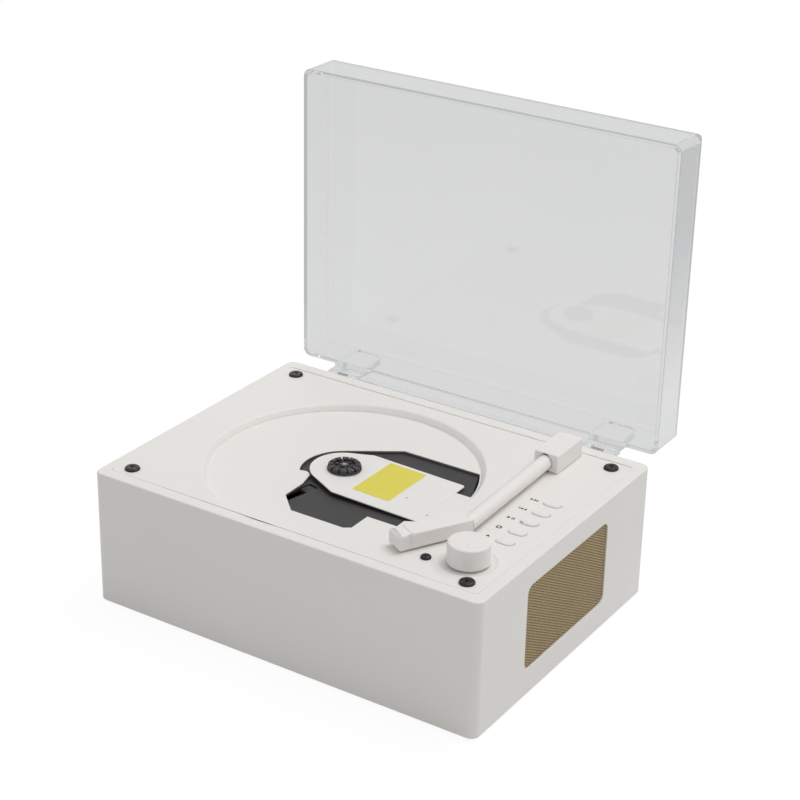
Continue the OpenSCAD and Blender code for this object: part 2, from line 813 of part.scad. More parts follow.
module hinge_pins() {
    color("silver") at_hinges() rotate([0, 90, 0])
        cylinder(r = hinge_pin_r, h = hinge_w - 1, center = true);
}

module mechanism_chassis() {
    slot_start = lens_at_rest - slot_lead;
    slot_end = lens_at_rest + sled_travel + slot_run;
    rod_block_h = chassis_under - rod_z + rod_r + block_under + cut;
    feed_block_h = chassis_under - feed_z + feed_r + block_under + cut;
    color("dimgray") difference() {
        union() {
            at_disc(chassis_under)
                slab(chassis_left, chassis_right, chassis_front, chassis_back, chassis_corner_r, chassis_t);
            at_sled(rod_z - rod_r - block_under) for (r = [rod_inner, rod_outer - rod_block], x = [-1, 1])
                translate([x * rod_offset - rod_block_w / 2, -r - rod_block, 0])
                    cube([rod_block_w, rod_block, rod_block_h]);
            at_sled(feed_z - feed_r - block_under)
                translate([-feed_offset - rod_block_w / 2, -rod_outer, 0])
                    cube([rod_block_w, rod_block, feed_block_h]);
            at_sled(feed_z - feed_r - block_under)
                translate([-feed_offset - feed_motor_r, -feed_inner + 0.4, 0])
                    cube([2 * feed_motor_r, feed_plate_t, feed_block_h]);
        }
        at_disc(chassis_under - cut) cylinder(r = hub_neck_r + 1.2, h = chassis_t + 2 * cut);
        at_sled(chassis_under - cut) translate([-slot_half, -slot_end, 0])
            cube([2 * slot_half, slot_end - slot_start, chassis_t + 2 * cut]);
        at_dampers(chassis_under - cut) cylinder(r = damper_waist_r + run_fit, h = chassis_t + 2 * cut);
        at_sled(rod_z) for (x = [-1, 1])
            translate([x * rod_offset, -rod_outer + 0.5, 0]) rotate([-90, 0, 0])
                cylinder(r = rod_r + 0.02, h = rod_outer);
        at_sled(feed_z) translate([-feed_offset, -rod_outer - cut, 0]) rotate([-90, 0, 0])
            cylinder(r = feed_r + run_fit, h = rod_outer);
    }
}

module chassis_dampers() {
    lower = chassis_under - damper_lower_t;
    color("#303030") at_dampers(lower) rotate_extrude() difference() {
        polygon([[damper_post_r + 0.02, 0], [damper_flange_r, 0], [damper_flange_r, damper_lower_t],
            [damper_waist_r, damper_lower_t], [damper_waist_r, damper_lower_t + chassis_t],
            [damper_flange_r, damper_lower_t + chassis_t],
            [damper_flange_r, damper_lower_t + chassis_t + damper_flange_t],
            [damper_post_r + 0.02, damper_lower_t + chassis_t + damper_flange_t]]);
    }
}

module chassis_screws() {
    color("silver") at_dampers(chassis_under - damper_lower_t) rotate([180, 0, 0])
        pan_screw(damper_flange_r - 0.6, damper_head_t, damper_screw_r, damper_screw_l);
}

module cover_level() {
    translate([disc_x + cover_end, disc_y, well_z]) rotate([0, cover_slope, 0]) children();
}

module pickup_cover() {
    color("white") difference() {
        union() {
            difference() {
                at_disc(chassis_top) linear_extrude(2 * well_depth) polygon(cover_points);
                cover_level() translate([-2 * cover_end, -cover_end, -cover_t - 10])
                    cube([3 * cover_end, 2 * cover_end, 10]);
            }
            for (x = [cover_foot_x, cover_end - cover_foot_in],
                    y = [cover_front + cover_foot_in, cover_back - cover_foot_in])
                at_disc(chassis_top) translate([x, y, 0]) cylinder(r = cover_foot_r, h = cover_foot_h);
        }
        cover_level() translate([-2 * cover_end, -cover_end, 0]) cube([3 * cover_end, 2 * cover_end, 10]);
        at_disc(chassis_top) cylinder(r = hub_hole_r, h = 10);
    }
}

module cover_label() {
    color("khaki") cover_level()
        translate([-cover_end + 13 + label_w / 2, (cover_back + cover_front) / 2 + 1.1, 0])
            linear_extrude(label_t) rounded_rect(label_w, label_d, 0.6);
}

module spindle_motor() {
    color("silver") at_disc(motor_base) difference() {
        union() {
            cylinder(r = motor_r, h = motor_h);
            cylinder(r = spindle_r + 2, h = motor_h + chassis_t);
            translate([0, 0, -1.2]) cylinder(r = spindle_r + 2, h = 2);
        }
        translate([0, 0, motor_h + chassis_t - spindle_depth - 0.4])
            cylinder(r = spindle_r + run_fit, h = spindle_depth + 1);
    }
}

module guide_rods() {
    color("silver") at_sled(rod_z) for (x = [-1, 1])
        translate([x * rod_offset, -rod_outer + 0.5, 0]) rotate([-90, 0, 0])
            cylinder(r = rod_r, h = rod_outer - rod_inner - 0.5);
}

module feed_motor() {
    color("silver") at_sled(feed_z) translate([-feed_offset, -feed_inner + 0.4 + feed_plate_t, 0])
        rotate([-90, 0, 0])
        difference() {
            intersection() {
                cylinder(r = feed_motor_r, h = feed_motor_l);
                translate([-feed_motor_r, -feed_motor_r + 1, 0])
                    cube([2 * feed_motor_r, 2 * feed_motor_r - 2, feed_motor_l]);
            }
            translate([0, 0, -cut]) cylinder(r = feed_r - 0.5 + run_fit, h = 6);
        }
}

module button_board() {
    color("darkgreen") difference() {
        translate([0, 0, board_top - board_t])
            slab(button_board_x0, button_board_x0 + button_board_w, button_board_y0, button_board_y1, 1,
                board_t);
        at_button_screws(board_top - board_t - cut)
            cylinder(r = button_screw_r + screw_play, h = board_t + 2 * cut);
    }
}

module button_board_screws() {
    color("silver") at_button_screws(board_top)
        pan_screw(2 * button_screw_r, screw_head_h, button_screw_r, board_t + button_screw_depth - 2);
}

module tact_switches() {
    color("dimgray") at_buttons(board_top) {
        translate([-switch_size / 2, -switch_size / 2, 0]) cube([switch_size, switch_size, switch_h]);
        cylinder(r = plunger_r, h = switch_h + plunger_h);
    }
}

module volume_pot() {
    color("silver") at_knob(pot_top) difference() {
        union() {
            translate([0, 0, -pot_h]) cylinder(r = pot_r, h = pot_h);
            cylinder(r = pot_bush_r, h = deck_top - pot_top - scoop_depth - 0.2);
        }
        translate([0, 0, -pot_shaft_depth])
            cylinder(r = pot_shaft_r + run_fit, h = pot_shaft_depth + deck_t);
    }
}

module main_board() {
    color("darkgreen") difference() {
        translate([0, 0, main_z]) slab(main_x0, main_x1, main_y0, main_y1, 1.5, board_t);
        at_main_screws(main_z - cut) cylinder(r = bracket_screw_r + screw_play, h = board_t + 2 * cut);
    }
}

module board_parts() {
    color("#303030") translate([0, 0, main_z + board_t]) {
        for (b = board_blocks) translate([b[0], b[1], 0]) cube([b[2], b[3], b[4]]);
        for (i = [0 : 2]) translate([can_x + can_pitch * i, can_y, 0]) cylinder(r = can_r, h = can_h);
    }
}

module board_screws() {
    color("silver") at_main_screws(main_z + board_t)
        pan_screw(bracket_screw_head_r, screw_head_h, bracket_screw_r, board_t + main_z - case_wall);
}

module power_socket() {
    inner_back = case_d / 2 - case_wall;
    color("#303030") translate([power_x, inner_back - power_depth, main_z + board_t]) difference() {
        translate([-power_w / 2, 0, 0]) cube([power_w, power_depth, power_h]);
        translate([0, 4, power_h / 2]) rotate([-90, 0, 0]) difference() {
            cylinder(r = power_bore_r, h = power_depth);
            translate([0, 0, -1]) cylinder(r = 1, h = power_depth - 4);
        }
    }
}

module audio_socket() {
    inner_back = case_d / 2 - case_wall;
    color("#303030") translate([audio_x, inner_back - audio_depth, main_z + board_t]) difference() {
        union() {
            translate([-audio_w / 2, 0, 0]) cube([audio_w, audio_depth, audio_h]);
            translate([0, audio_depth - cut, audio_h / 2]) rotate([-90, 0, 0])
                cylinder(r = audio_nose_r, h = audio_nose_l);
        }
        translate([0, 1, audio_h / 2]) rotate([-90, 0, 0])
            cylinder(r = audio_bore_r, h = audio_depth + audio_nose_l);
    }
}

// Box with its upright edges and its upper edges rounded
module soft_box(w, d, h, r) {
    intersection() {
        linear_extrude(h) rounded_rect(w, d, r + 1);
        rotate([90, 0, 0]) linear_extrude(d + 2, center = true)
            intersection() {
                rounded_rect(w, 2 * h, r);
                translate([-w / 2, 0]) square([w, h]);
            }
        rotate([90, 0, 90]) linear_extrude(w + 2, center = true)
            intersection() {
                rounded_rect(d, 2 * h, r);
                translate([-d / 2, 0]) square([d, h]);
            }
    }
}

module closed_lid() {
    difference() {
        union() {
            translate([0, 0, lid_rim_z]) difference() {
                soft_box(lid_w, lid_d, lid_h, lid_edge_r);
                translate([0, 0, -cut])
                    soft_box(lid_w - 2 * lid_wall, lid_d - 2 * lid_wall, lid_h - lid_wall + cut,
                        lid_edge_r - lid_wall + 0.6);
            }
            translate([-hinge_x, lid_d / 2 - cut, lid_rim_z])
                cube([2 * hinge_x, hinge_y - lid_d / 2 + cut, strip_t]);
            translate([-hinge_x, hinge_y - strip_t, hinge_z + strip_rise])
                cube([2 * hinge_x, strip_t, lid_rim_z - hinge_z - strip_rise + cut]);
            for (s = [-1, 1]) translate([s * hinge_x, 0, 0]) {
                translate([0, hinge_y, hinge_z]) rotate([0, 90, 0])
                    cylinder(r = knuckle_r, h = hinge_w, center = true);
                translate([-hinge_w / 2, hinge_y - knuckle_r, hinge_z])
                    cube([hinge_w, knuckle_r, lid_rim_z - hinge_z + 1]);
                translate([0, lid_d / 2 + lug_t, 0]) rotate([90, 0, 0]) linear_extrude(lug_t + 0.5)
                    translate([0, lid_rim_z]) {
                        translate([-hinge_w / 2, 0]) square([hinge_w, lug_rise - lug_corner_r]);
                        translate([-hinge_w / 2 + lug_corner_r, 0])
                            square([hinge_w - 2 * lug_corner_r, lug_rise]);
                        for (x = [-1, 1])
                            translate([x * (hinge_w / 2 - lug_corner_r), lug_rise - lug_corner_r])
                                circle(lug_corner_r);
                    }
            }
        }
        for (s = [-1, 1]) translate([s * hinge_x, hinge_y, hinge_z]) {
            rotate([0, 90, 0]) cylinder(r = hinge_pin_r + run_fit, h = hinge_w + 2, center = true);
            translate([-lug_slot / 2, -2 * knuckle_r, -2 * knuckle_r])
                cube([lug_slot, 4 * knuckle_r, 2 * knuckle_r + bracket_knuckle_r + gap]);
        }
    }
}

// The lid stands open
module dust_lid() {
    color("lightcyan", 0.35) translate([0, hinge_y, hinge_z]) rotate([-90, 0, 0])
        translate([0, -hinge_y, -hinge_z]) closed_lid();
}

module volume_knob() {
    color("white") at_knob(arm_base) difference() {
        rotate_extrude($fn = 96) {
            square([knob_r - knob_edge_r, knob_h - gap]);
            square([knob_r, knob_h - gap - knob_edge_r]);
            translate([knob_r - knob_edge_r, knob_h - gap - knob_edge_r]) circle(knob_edge_r);
        }
        translate([0, 0, -cut]) cylinder(r = pot_shaft_r + knob_fit, h = knob_h - gap - knob_top_wall);
        rotate([0, 0, knob_mark_angle]) translate([knob_r * 0.3, -0.25, knob_h - gap - 0.2])
            cube([knob_r * 0.3, 0.5, 1]);
    }
}

module pot_shaft() {
    bottom = pot_top - pot_shaft_depth + gap;
    top = arm_base + knob_h - gap - knob_top_wall - 0.2;
    color("silver") at_knob(bottom) cylinder(r = pot_shaft_r, h = top - bottom);
}

module button(i) {
    z0 = deck_under - gap - button_flange_t;
    step_z = deck_top + button_h - button_crown;
    color("white") translate([button_x, button_back_y - i * button_pitch, 0]) {
        translate([0, 0, z0])
            oval(button_w + 2 * button_flange, button_d + 2 * button_flange, button_flange_t);
        translate([0, 0, z0]) oval(button_w, button_d, step_z - z0);
        translate([0, 0, step_z - cut])
            oval(button_w - 2 * button_edge, button_d - 2 * button_edge, button_crown + cut);
        translate([0, 0, stem_end]) cylinder(r = stem_r, h = z0 - stem_end + cut);
    }
}

module first_button() { button(0); }
module second_button() { button(1); }
module third_button() { button(2); }
module fourth_button() { button(3); }
module fifth_button() { button(4); }

module turntable() {
    color("white") at_disc(seat_z - turntable_t) difference() {
        union() {
            cylinder(r = turntable_r, h = turntable_t - hub_flange_t, $fn = 96);
            translate([0, 0, chassis_top + gap - seat_z + turntable_t])
                cylinder(r = hub_neck_r, h = seat_z - turntable_t - chassis_top - gap + cut);
        }
        translate([0, 0, -10]) cylinder(r = spindle_r + knob_fit, h = 20);
    }
}

module disc_hub() {
    color("#202020") at_disc(seat_z - hub_flange_t) difference() {
        union() {
            cylinder(r = hub_flange_r, h = hub_flange_t);
            cylinder(r = hub_plug_r, h = hub_flange_t + disc_t);
            translate([0, 0, hub_flange_t + disc_t - cut]) rotate_extrude()
                polygon([[0, 0], [hub_plug_r, 0], [hub_plug_r - 0.5, hub_crown * 0.6],
                    [hub_plug_r - 1.8, hub_crown], [0, hub_crown]]);
        }
        for (a = [0 : 120 : 240]) rotate([0, 0, a + 20]) {
            translate([2.4, -1.5, hub_flange_t + disc_t - 0.6]) cube([hub_plug_r - 3.2, 0.4, 3]);
            translate([2.4, 1.1, hub_flange_t + disc_t - 0.6]) cube([hub_plug_r - 3.2, 0.4, 3]);
            translate([2.4, -1.5, hub_flange_t + disc_t - 0.6]) cube([0.4, 3, 3]);
        }
        translate([0, 0, hub_total - 0.1]) cylinder(r = spindle_r + 0.7, h = 2);
        translate([0, 0, -cut]) cylinder(r = spindle_r + knob_fit, h = 10);
    }
}

module spindle_shaft() {
    bottom = motor_base + motor_h + chassis_t - spindle_depth;
    color("silver") at_disc(bottom) cylinder(r = spindle_r, h = seat_z + hub_total - 0.6 - bottom);
}

module pickup_sled() {
    wide_in = lens_at_rest - sled_back;
    wide_out = lens_at_rest - sled_mid;
    finger_at = feed_offset - feed_r - finger_gap;
    color("#252525") difference() {
        union() {
            at_sled(rod_z - sled_t / 2) {
                translate([-sled_half, -wide_out, 0]) cube([2 * sled_half, wide_out - wide_in, sled_t]);
                translate([-sled_head_half, -lens_at_rest - sled_nose, 0])
                    cube([2 * sled_head_half, sled_nose + sled_mid + cut, sled_t]);
                translate([-finger_at, -wide_out + finger_w / 2, (sled_t - finger_t) / 2])
                    cube([finger_at - sled_half + cut, finger_w, finger_t]);
            }
            at_sled(rod_z + sled_t / 2 - cut) translate([0, -lens_at_rest, 0])
                cylinder(r = turret_r, h = lens_top - lens_h - rod_z - sled_t / 2 + cut);
        }
        at_sled(rod_z) for (x = [-1, 1]) translate([x * rod_offset, -wide_out - cut, 0])
            rotate([-90, 0, 0]) cylinder(r = rod_r + run_fit, h = wide_out - wide_in + 2 * cut);
    }
}

module objective_lens() {
    color("midnightblue") at_sled(lens_top - lens_h) translate([0, -lens_at_rest, 0]) {
        cylinder(r = lens_r, h = lens_h / 2);
        translate([0, 0, lens_h / 2 - cut])
            cylinder(r1 = lens_r, r2 = lens_r * 0.6, h = lens_h / 2 + cut);
    }
}

module feed_screw() {
    length = feed_outer - feed_inner - 0.6;
    pitch = feed_lead / thread_starts;
    rings = floor((length - 2 * thread_end) / pitch);
    color("silver") at_sled(feed_z) translate([-feed_offset, -feed_inner - 0.3, 0]) rotate([90, 0, 0]) {
        difference() {
            cylinder(r = feed_r, h = length);
            for (i = [0 : rings - 1]) translate([0, 0, thread_end + i * pitch])
                rotate_extrude() translate([feed_r - thread_depth, 0]) square([thread_depth + 1, pitch / 2]);
        }
        translate([0, 0, -feed_tail]) cylinder(r = feed_r - 0.5, h = feed_tail + cut);
    }
}

// Turns Z along the tube, from the middle of the block's front face towards the front
module along_tube() {
    translate([arm_x + arm_tube_side, arm_y - arm_block_d / 2, arm_axis_z]) rotate([90, 0, arm_tube_lean])
        children();
}

module arm_block() {
    color("white") difference() {
        translate([arm_x - arm_block_w / 2, arm_y - arm_block_d / 2, arm_base])
            cube([arm_block_w, arm_block_d, arm_block_h]);
        along_tube() translate([0, 0, -arm_tube_seat])
            cylinder(r = arm_tube_r + knob_fit, h = arm_tube_seat + 1);
        at_arm(arm_base - cut) cylinder(r = arm_post_r + knob_fit, h = arm_post_seat + cut);
    }
}

// Tube that leaves the block towards the front, and a headshell bar turned in towards the disc
module tone_arm() {
    color("white") {
        along_tube() translate([0, 0, -arm_tube_seat])
            cylinder(r = arm_tube_r, h = arm_tube_l + arm_tube_seat);
        along_tube() translate([0, 0, arm_tube_l]) {
            sphere(r = arm_tube_r);
            translate([0, -arm_axis_z + arm_base, 0]) rotate([-90, -arm_tube_lean - headshell_angle, 0])
                headshell();
        }
    }
}

// Bar with rounded long edges, flush with the tube on its outer side and thinner towards the tube
module headshell() {
    left = arm_tube_r - headshell_w;
    difference() {
        intersection() {
            translate([left, -headshell_l, 0]) rotate([90, 0, 90]) linear_extrude(headshell_w)
                polygon([[0, headshell_nose], [headshell_nose, 0], [headshell_groove_at, 0],
                    [headshell_l, headshell_rise], [headshell_l, headshell_h - headshell_rise],
                    [headshell_nose, headshell_h], [0, headshell_h - headshell_nose]]);
            translate([left + headshell_w / 2, 0, headshell_h / 2]) rotate([90, 0, 0])
                linear_extrude(headshell_l) rounded_rect(headshell_w, headshell_h, headshell_edge_r);
        }
        for (x = [left - 0.4, arm_tube_r - 0.4])
            translate([x, -headshell_l + headshell_groove_at, -cut])
                cube([0.8, headshell_groove, headshell_h + 1]);
        translate([left - cut, -headshell_l + headshell_groove_at, headshell_h - 0.5])
            cube([headshell_w + 2 * cut, headshell_groove, 1]);
    }
}

module arm_post() {
    bottom = deck_under - arm_boss_l - arm_clip_t - gap - 0.6;
    color("silver") at_arm(bottom) difference() {
        cylinder(r = arm_post_r, h = arm_base + arm_post_seat - 0.1 - bottom);
        translate([0, 0, 0.6]) rotate_extrude()
            translate([arm_post_r - 0.6, 0]) square([2, arm_clip_t]);
    }
}

module arm_clip() {
    color("silver") at_arm(deck_under - arm_boss_l - arm_clip_t - gap) difference() {
        cylinder(r = arm_post_r + 1.6, h = arm_clip_t);
        translate([0, 0, -cut]) cylinder(r = arm_post_r - 0.6 + knob_fit, h = arm_clip_t + 2 * cut);
        translate([-1.6, 0, -cut]) cube([3.2, 10, arm_clip_t + 2 * cut]);
    }
}

case_body();
deck_panel();
deck_screws();
rest_screw();
rubber_feet();
speaker_grille();
speaker_basket();
speaker_cone();
speaker_magnet();
speaker_screws();
hinge_brackets();
hinge_bracket_screws();
hinge_pins();
mechanism_chassis();
chassis_dampers();
chassis_screws();
pickup_cover();
cover_label();
spindle_motor();
guide_rods();
feed_motor();
button_board();
button_board_screws();
tact_switches();
volume_pot();
main_board();
board_parts();
board_screws();
power_socket();
audio_socket();
dust_lid();
volume_knob();
pot_shaft();
first_button();
second_button();
third_button();
fourth_button();
fifth_button();
disc_hub();
turntable();
spindle_shaft();
pickup_sled();
objective_lens();
feed_screw();
tone_arm();
arm_block();
arm_post();
arm_clip();
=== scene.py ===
"""Looks of a compact disc player with an open deck and a clear dust lid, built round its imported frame.

Lengths are in metres in the frame of the CAD part. MM turns millimetres into metres.
"""
import json
import math

import bpy
from mathutils import Matrix, Vector

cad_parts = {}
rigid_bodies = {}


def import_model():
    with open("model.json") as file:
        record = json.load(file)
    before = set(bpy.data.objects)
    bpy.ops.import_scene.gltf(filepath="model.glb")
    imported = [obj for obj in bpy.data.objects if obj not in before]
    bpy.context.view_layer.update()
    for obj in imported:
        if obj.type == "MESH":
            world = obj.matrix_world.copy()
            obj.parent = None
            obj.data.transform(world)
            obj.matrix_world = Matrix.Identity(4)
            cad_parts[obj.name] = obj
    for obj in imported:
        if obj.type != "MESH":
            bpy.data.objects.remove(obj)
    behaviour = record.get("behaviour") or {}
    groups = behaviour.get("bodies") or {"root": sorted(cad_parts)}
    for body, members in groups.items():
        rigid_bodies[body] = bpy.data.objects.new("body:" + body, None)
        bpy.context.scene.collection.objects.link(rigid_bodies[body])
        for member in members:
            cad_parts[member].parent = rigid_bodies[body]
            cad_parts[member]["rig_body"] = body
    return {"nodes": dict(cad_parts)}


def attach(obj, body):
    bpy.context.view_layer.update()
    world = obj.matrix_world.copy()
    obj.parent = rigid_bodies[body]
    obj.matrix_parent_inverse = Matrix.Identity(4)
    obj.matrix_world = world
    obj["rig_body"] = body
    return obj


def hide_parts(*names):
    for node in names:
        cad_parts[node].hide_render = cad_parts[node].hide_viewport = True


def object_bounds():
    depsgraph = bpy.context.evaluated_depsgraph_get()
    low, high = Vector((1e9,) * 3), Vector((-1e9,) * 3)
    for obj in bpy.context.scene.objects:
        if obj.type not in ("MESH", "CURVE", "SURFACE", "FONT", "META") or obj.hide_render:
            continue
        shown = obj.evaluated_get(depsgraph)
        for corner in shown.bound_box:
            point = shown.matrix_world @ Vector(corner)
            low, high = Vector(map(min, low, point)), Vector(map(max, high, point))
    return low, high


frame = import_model()
cad_low, cad_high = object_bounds()
NODES = frame["nodes"]
MM = 0.001
bpy.ops.object.select_all(action="DESELECT")

# Places shared by several pieces, in millimetres, and the cover's slope in degrees
CASE_SIDE = 100.0
CASE_FRONT = 74.7
DISC = (-12.8, -5.2)
DECK_TOP = 65.0
SEAT_Z = 63.9
WELL_Z = 61.8
COVER_SLOPE = 1.3
COVER_END_X = 39.2
# Play round a CAD piece that its dressed copy takes up
PLAY = 0.09


# Selection and edit mode

def pick(piece):
    """Makes piece the only selected and the active object."""
    bpy.ops.object.select_all(action="DESELECT")
    piece.select_set(True)
    bpy.context.view_layer.objects.active = piece


def open_mesh(piece, kind="VERT", action="SELECT"):
    pick(piece)
    bpy.ops.object.mode_set(mode="EDIT")
    bpy.ops.mesh.select_mode(type=kind)
    bpy.ops.mesh.select_all(action=action)


def close_mesh():
    bpy.ops.object.mode_set(mode="OBJECT")


def mark(piece, kind, test):
    """Selects the faces, edges or vertices whose middle passes the test, and leaves edit mode open."""
    open_mesh(piece, kind, "DESELECT")
    close_mesh()
    mesh = piece.data
    points = [v.co for v in mesh.vertices]
    if kind == "FACE":
        for face in mesh.polygons:
            face.select = test(face.center, face.normal)
    elif kind == "EDGE":
        for edge in mesh.edges:
            first, last = (points[i] for i in edge.vertices)
            edge.select = test((first + last) / 2, (last - first).normalized())
    else:
        for vertex in mesh.vertices:
            vertex.select = test(vertex.co)
    bpy.ops.object.mode_set(mode="EDIT")


def apply_all(piece):
    pick(piece)
    for modifier in list(piece.modifiers):
        bpy.ops.object.modifier_apply(modifier=modifier.name)


def settle(piece):
    """Puts the piece's place into its mesh, so that its object sits at the origin."""
    pick(piece)
    bpy.ops.object.transform_apply(location=True, rotation=True, scale=True)


def outward(piece):
    open_mesh(piece)
    bpy.ops.mesh.remove_doubles(threshold=1e-6)
    bpy.ops.mesh.normals_make_consistent(inside=False)
    close_mesh()


def smooth(piece, angle=35):
    pick(piece)
    bpy.ops.object.shade_smooth_by_angle(angle=math.radians(angle))


def joined(pieces, name):
    pick(pieces[0])
    for piece in pieces:
        piece.select_set(True)
    bpy.ops.object.join()
    whole = bpy.context.view_layer.objects.active
    whole.name = name
    return whole


def twin(piece, name):
    """Copy of a piece with its own mesh."""
    other = piece.copy()
    other.data = piece.data.copy()
    other.name = name
    bpy.context.scene.collection.objects.link(other)
    return other


def soft_edges(piece, width, segments=3, angle=28, share=None):
    """Rounds the sharp edges. share gives each edge's part of the width from its middle, in millimetres."""
    open_mesh(piece, "EDGE", "DESELECT")
    bpy.ops.mesh.edges_select_sharp(sharpness=math.radians(angle))
    close_mesh()
    mesh = piece.data
    weights = mesh.attributes.new("bevel_weight_edge", "FLOAT", "EDGE")
    for edge in mesh.edges:
        if edge.select:
            first, last = (mesh.vertices[i].co for i in edge.vertices)
            weights.data[edge.index].value = share((first + last) / 2 / MM) if share else 1.0
    bevel = piece.modifiers.new("soft_edges", "BEVEL")
    bevel.limit_method = "WEIGHT"
    bevel.width = width * MM
    bevel.segments = segments
    bevel.use_clamp_overlap = False
    bevel.miter_outer = "MITER_ARC"
    apply_all(piece)


def dressed(name, material, slot, width=0.0, segments=3, share=None, reshape=None, smoothness=35):
    """A merged copy of a CAD node's mesh with rounded edges, which stands for the node.

    reshape takes and gives the place of a vertex in millimetres.
    """
    piece = bpy.data.objects.new(name + "_finished", NODES[name].data.copy())
    bpy.context.scene.collection.objects.link(piece)
    open_mesh(piece)
    bpy.ops.mesh.customdata_custom_splitnormals_clear()
    bpy.ops.mesh.remove_doubles(threshold=1e-6)
    bpy.ops.mesh.dissolve_limited(angle_limit=math.radians(0.4))
    close_mesh()
    if reshape:
        for vertex in piece.data.vertices:
            vertex.co = reshape(vertex.co / MM) * MM
    if width:
        soft_edges(piece, width, segments, share=share)
    smooth(piece, smoothness)
    even = piece.modifiers.new("even_normals", "WEIGHTED_NORMAL")
    even.keep_sharp = True
    apply_all(piece)
    return place(piece, NODES[name]["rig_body"], slot, material, name)


def place(piece, body, slot, material, *nodes):
    piece.data.materials.clear()
    piece.data.materials.append(material)
    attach(piece, body)
    if nodes:
        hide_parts(*nodes)
    return piece


# Shader groups

def new_group(name, inputs, outputs):
    group = bpy.data.node_groups.new(name, "ShaderNodeTree")
    for label, kind, value in inputs:
        socket = group.interface.new_socket(name=label, in_out="INPUT", socket_type="NodeSocket" + kind)
        socket.default_value = value
    for label, kind in outputs:
        group.interface.new_socket(name=label, in_out="OUTPUT", socket_type="NodeSocket" + kind)
    return group


def node(tree, kind, links=None, **values):
    """Adds a shader node. Plain values set its properties, and links set or join its sockets."""
    made = tree.nodes.new("ShaderNode" + kind)
    for key, value in values.items():
        setattr(made, key, value)
    for key, value in (links or {}).items():
        if isinstance(value, bpy.types.NodeSocket):
            tree.links.new(value, made.inputs[key])
        else:
            made.inputs[key].default_value = value
    return made


def group_ends(group):
    return group.nodes.new("NodeGroupInput"), group.nodes.new("NodeGroupOutput")


def send(tree, end, **outputs):
    for key, socket in outputs.items():
        tree.links.new(socket, end.inputs[key])


def ramp(tree, value, low, high, to_low=0.0, to_high=1.0):
    """The value moved from one range to another, and held inside it."""
    return node(tree, "MapRange", {"Value": value, "From Min": low, "From Max": high,
                                   "To Min": to_low, "To Max": to_high}).outputs["Result"]


def blend_colour(tree, factor, first, second):
    mix = node(tree, "Mix", data_type="RGBA")
    for key, value in ((0, factor), (6, first), (7, second)):
        if isinstance(value, bpy.types.NodeSocket):
            tree.links.new(value, mix.inputs[key])
        else:
            mix.inputs[key].default_value = value
    return mix.outputs[2]


def make_surface_group():
    """Moulded or rolled surface: a fine grain, and slow changes of tone and gloss."""
    group = new_group("surface_grain", [
        ("Tone", "Color", (0.8, 0.8, 0.8, 1)), ("Shade", "Color", (0.7, 0.7, 0.7, 1)),
        ("Tone Size", "Float", 30.0), ("Tone Amount", "Float", 0.5),
        ("Gloss", "Float", 0.5), ("Gloss Spread", "Float", 0.08),
        ("Grain Size", "Float", 3000.0), ("Grain Depth", "Float", 0.00002),
        ("Stretch", "Vector", (1.0, 1.0, 1.0)),
    ], [("Color", "Color"), ("Roughness", "Float"), ("Normal", "Vector")])
    start, end = group_ends(group)
    place_of = node(group, "TexCoord").outputs["Object"]
    stretched = node(group, "VectorMath", {0: place_of, 1: start.outputs["Stretch"]}, operation="MULTIPLY")
    slow = node(group, "TexNoise", {"Vector": stretched.outputs[0], "Scale": start.outputs["Tone Size"],
                                    "Detail": 4.0, "Roughness": 0.55}).outputs["Fac"]
    fine = node(group, "TexNoise", {"Vector": stretched.outputs[0], "Scale": start.outputs["Grain Size"],
                                    "Detail": 3.0, "Roughness": 0.6}).outputs["Fac"]
    amount = node(group, "Math", {0: ramp(group, slow, 0.3, 0.7), 1: start.outputs["Tone Amount"]},
                  operation="MULTIPLY").outputs[0]
    toned = blend_colour(group, amount, start.outputs["Tone"], start.outputs["Shade"])
    centred = node(group, "Math", {0: slow, 1: 0.5}, operation="SUBTRACT").outputs[0]
    gloss = node(group, "Math", {0: centred, 1: start.outputs["Gloss Spread"], 2: start.outputs["Gloss"]},
                 operation="MULTIPLY_ADD").outputs[0]
    bump = node(group, "Bump", {"Strength": 0.6, "Distance": start.outputs["Grain Depth"], "Height": fine})
    send(group, end, Color=toned, Roughness=gloss, Normal=bump.outputs["Normal"])
    return group


def make_edge_and_hollow_group():
    """Edges lighter and hollows darker, from how far the surface bends there."""
    group = new_group("lighter_edges_darker_hollows", [
        ("Color", "Color", (0.8, 0.8, 0.8, 1)), ("Edge Color", "Color", (0.9, 0.9, 0.9, 1)),
        ("Corner Color", "Color", (0.5, 0.5, 0.5, 1)), ("Edge Amount", "Float", 0.3),
        ("Corner Amount", "Float", 0.3),
    ], [("Color", "Color")])
    start, end = group_ends(group)
    bend = node(group, "NewGeometry").outputs["Pointiness"]
    patchy = node(group, "TexNoise", {"Vector": node(group, "TexCoord").outputs["Object"], "Scale": 160.0,
                                      "Detail": 5.0, "Roughness": 0.65}).outputs["Fac"]
    edge = node(group, "Math", {0: ramp(group, bend, 0.52, 0.60), 1: ramp(group, patchy, 0.35, 0.65)},
                operation="MULTIPLY").outputs[0]
    edge = node(group, "Math", {0: edge, 1: start.outputs["Edge Amount"]}, operation="MULTIPLY").outputs[0]
    corner = node(group, "Math", {0: ramp(group, bend, 0.48, 0.40), 1: start.outputs["Corner Amount"]},
                  operation="MULTIPLY").outputs[0]
    lighter_at_edges = blend_colour(group, edge, start.outputs["Color"], start.outputs["Edge Color"])
    darker_in_hollows = blend_colour(group, corner, lighter_at_edges, start.outputs["Corner Color"])
    send(group, end, Color=darker_in_hollows)
    return group


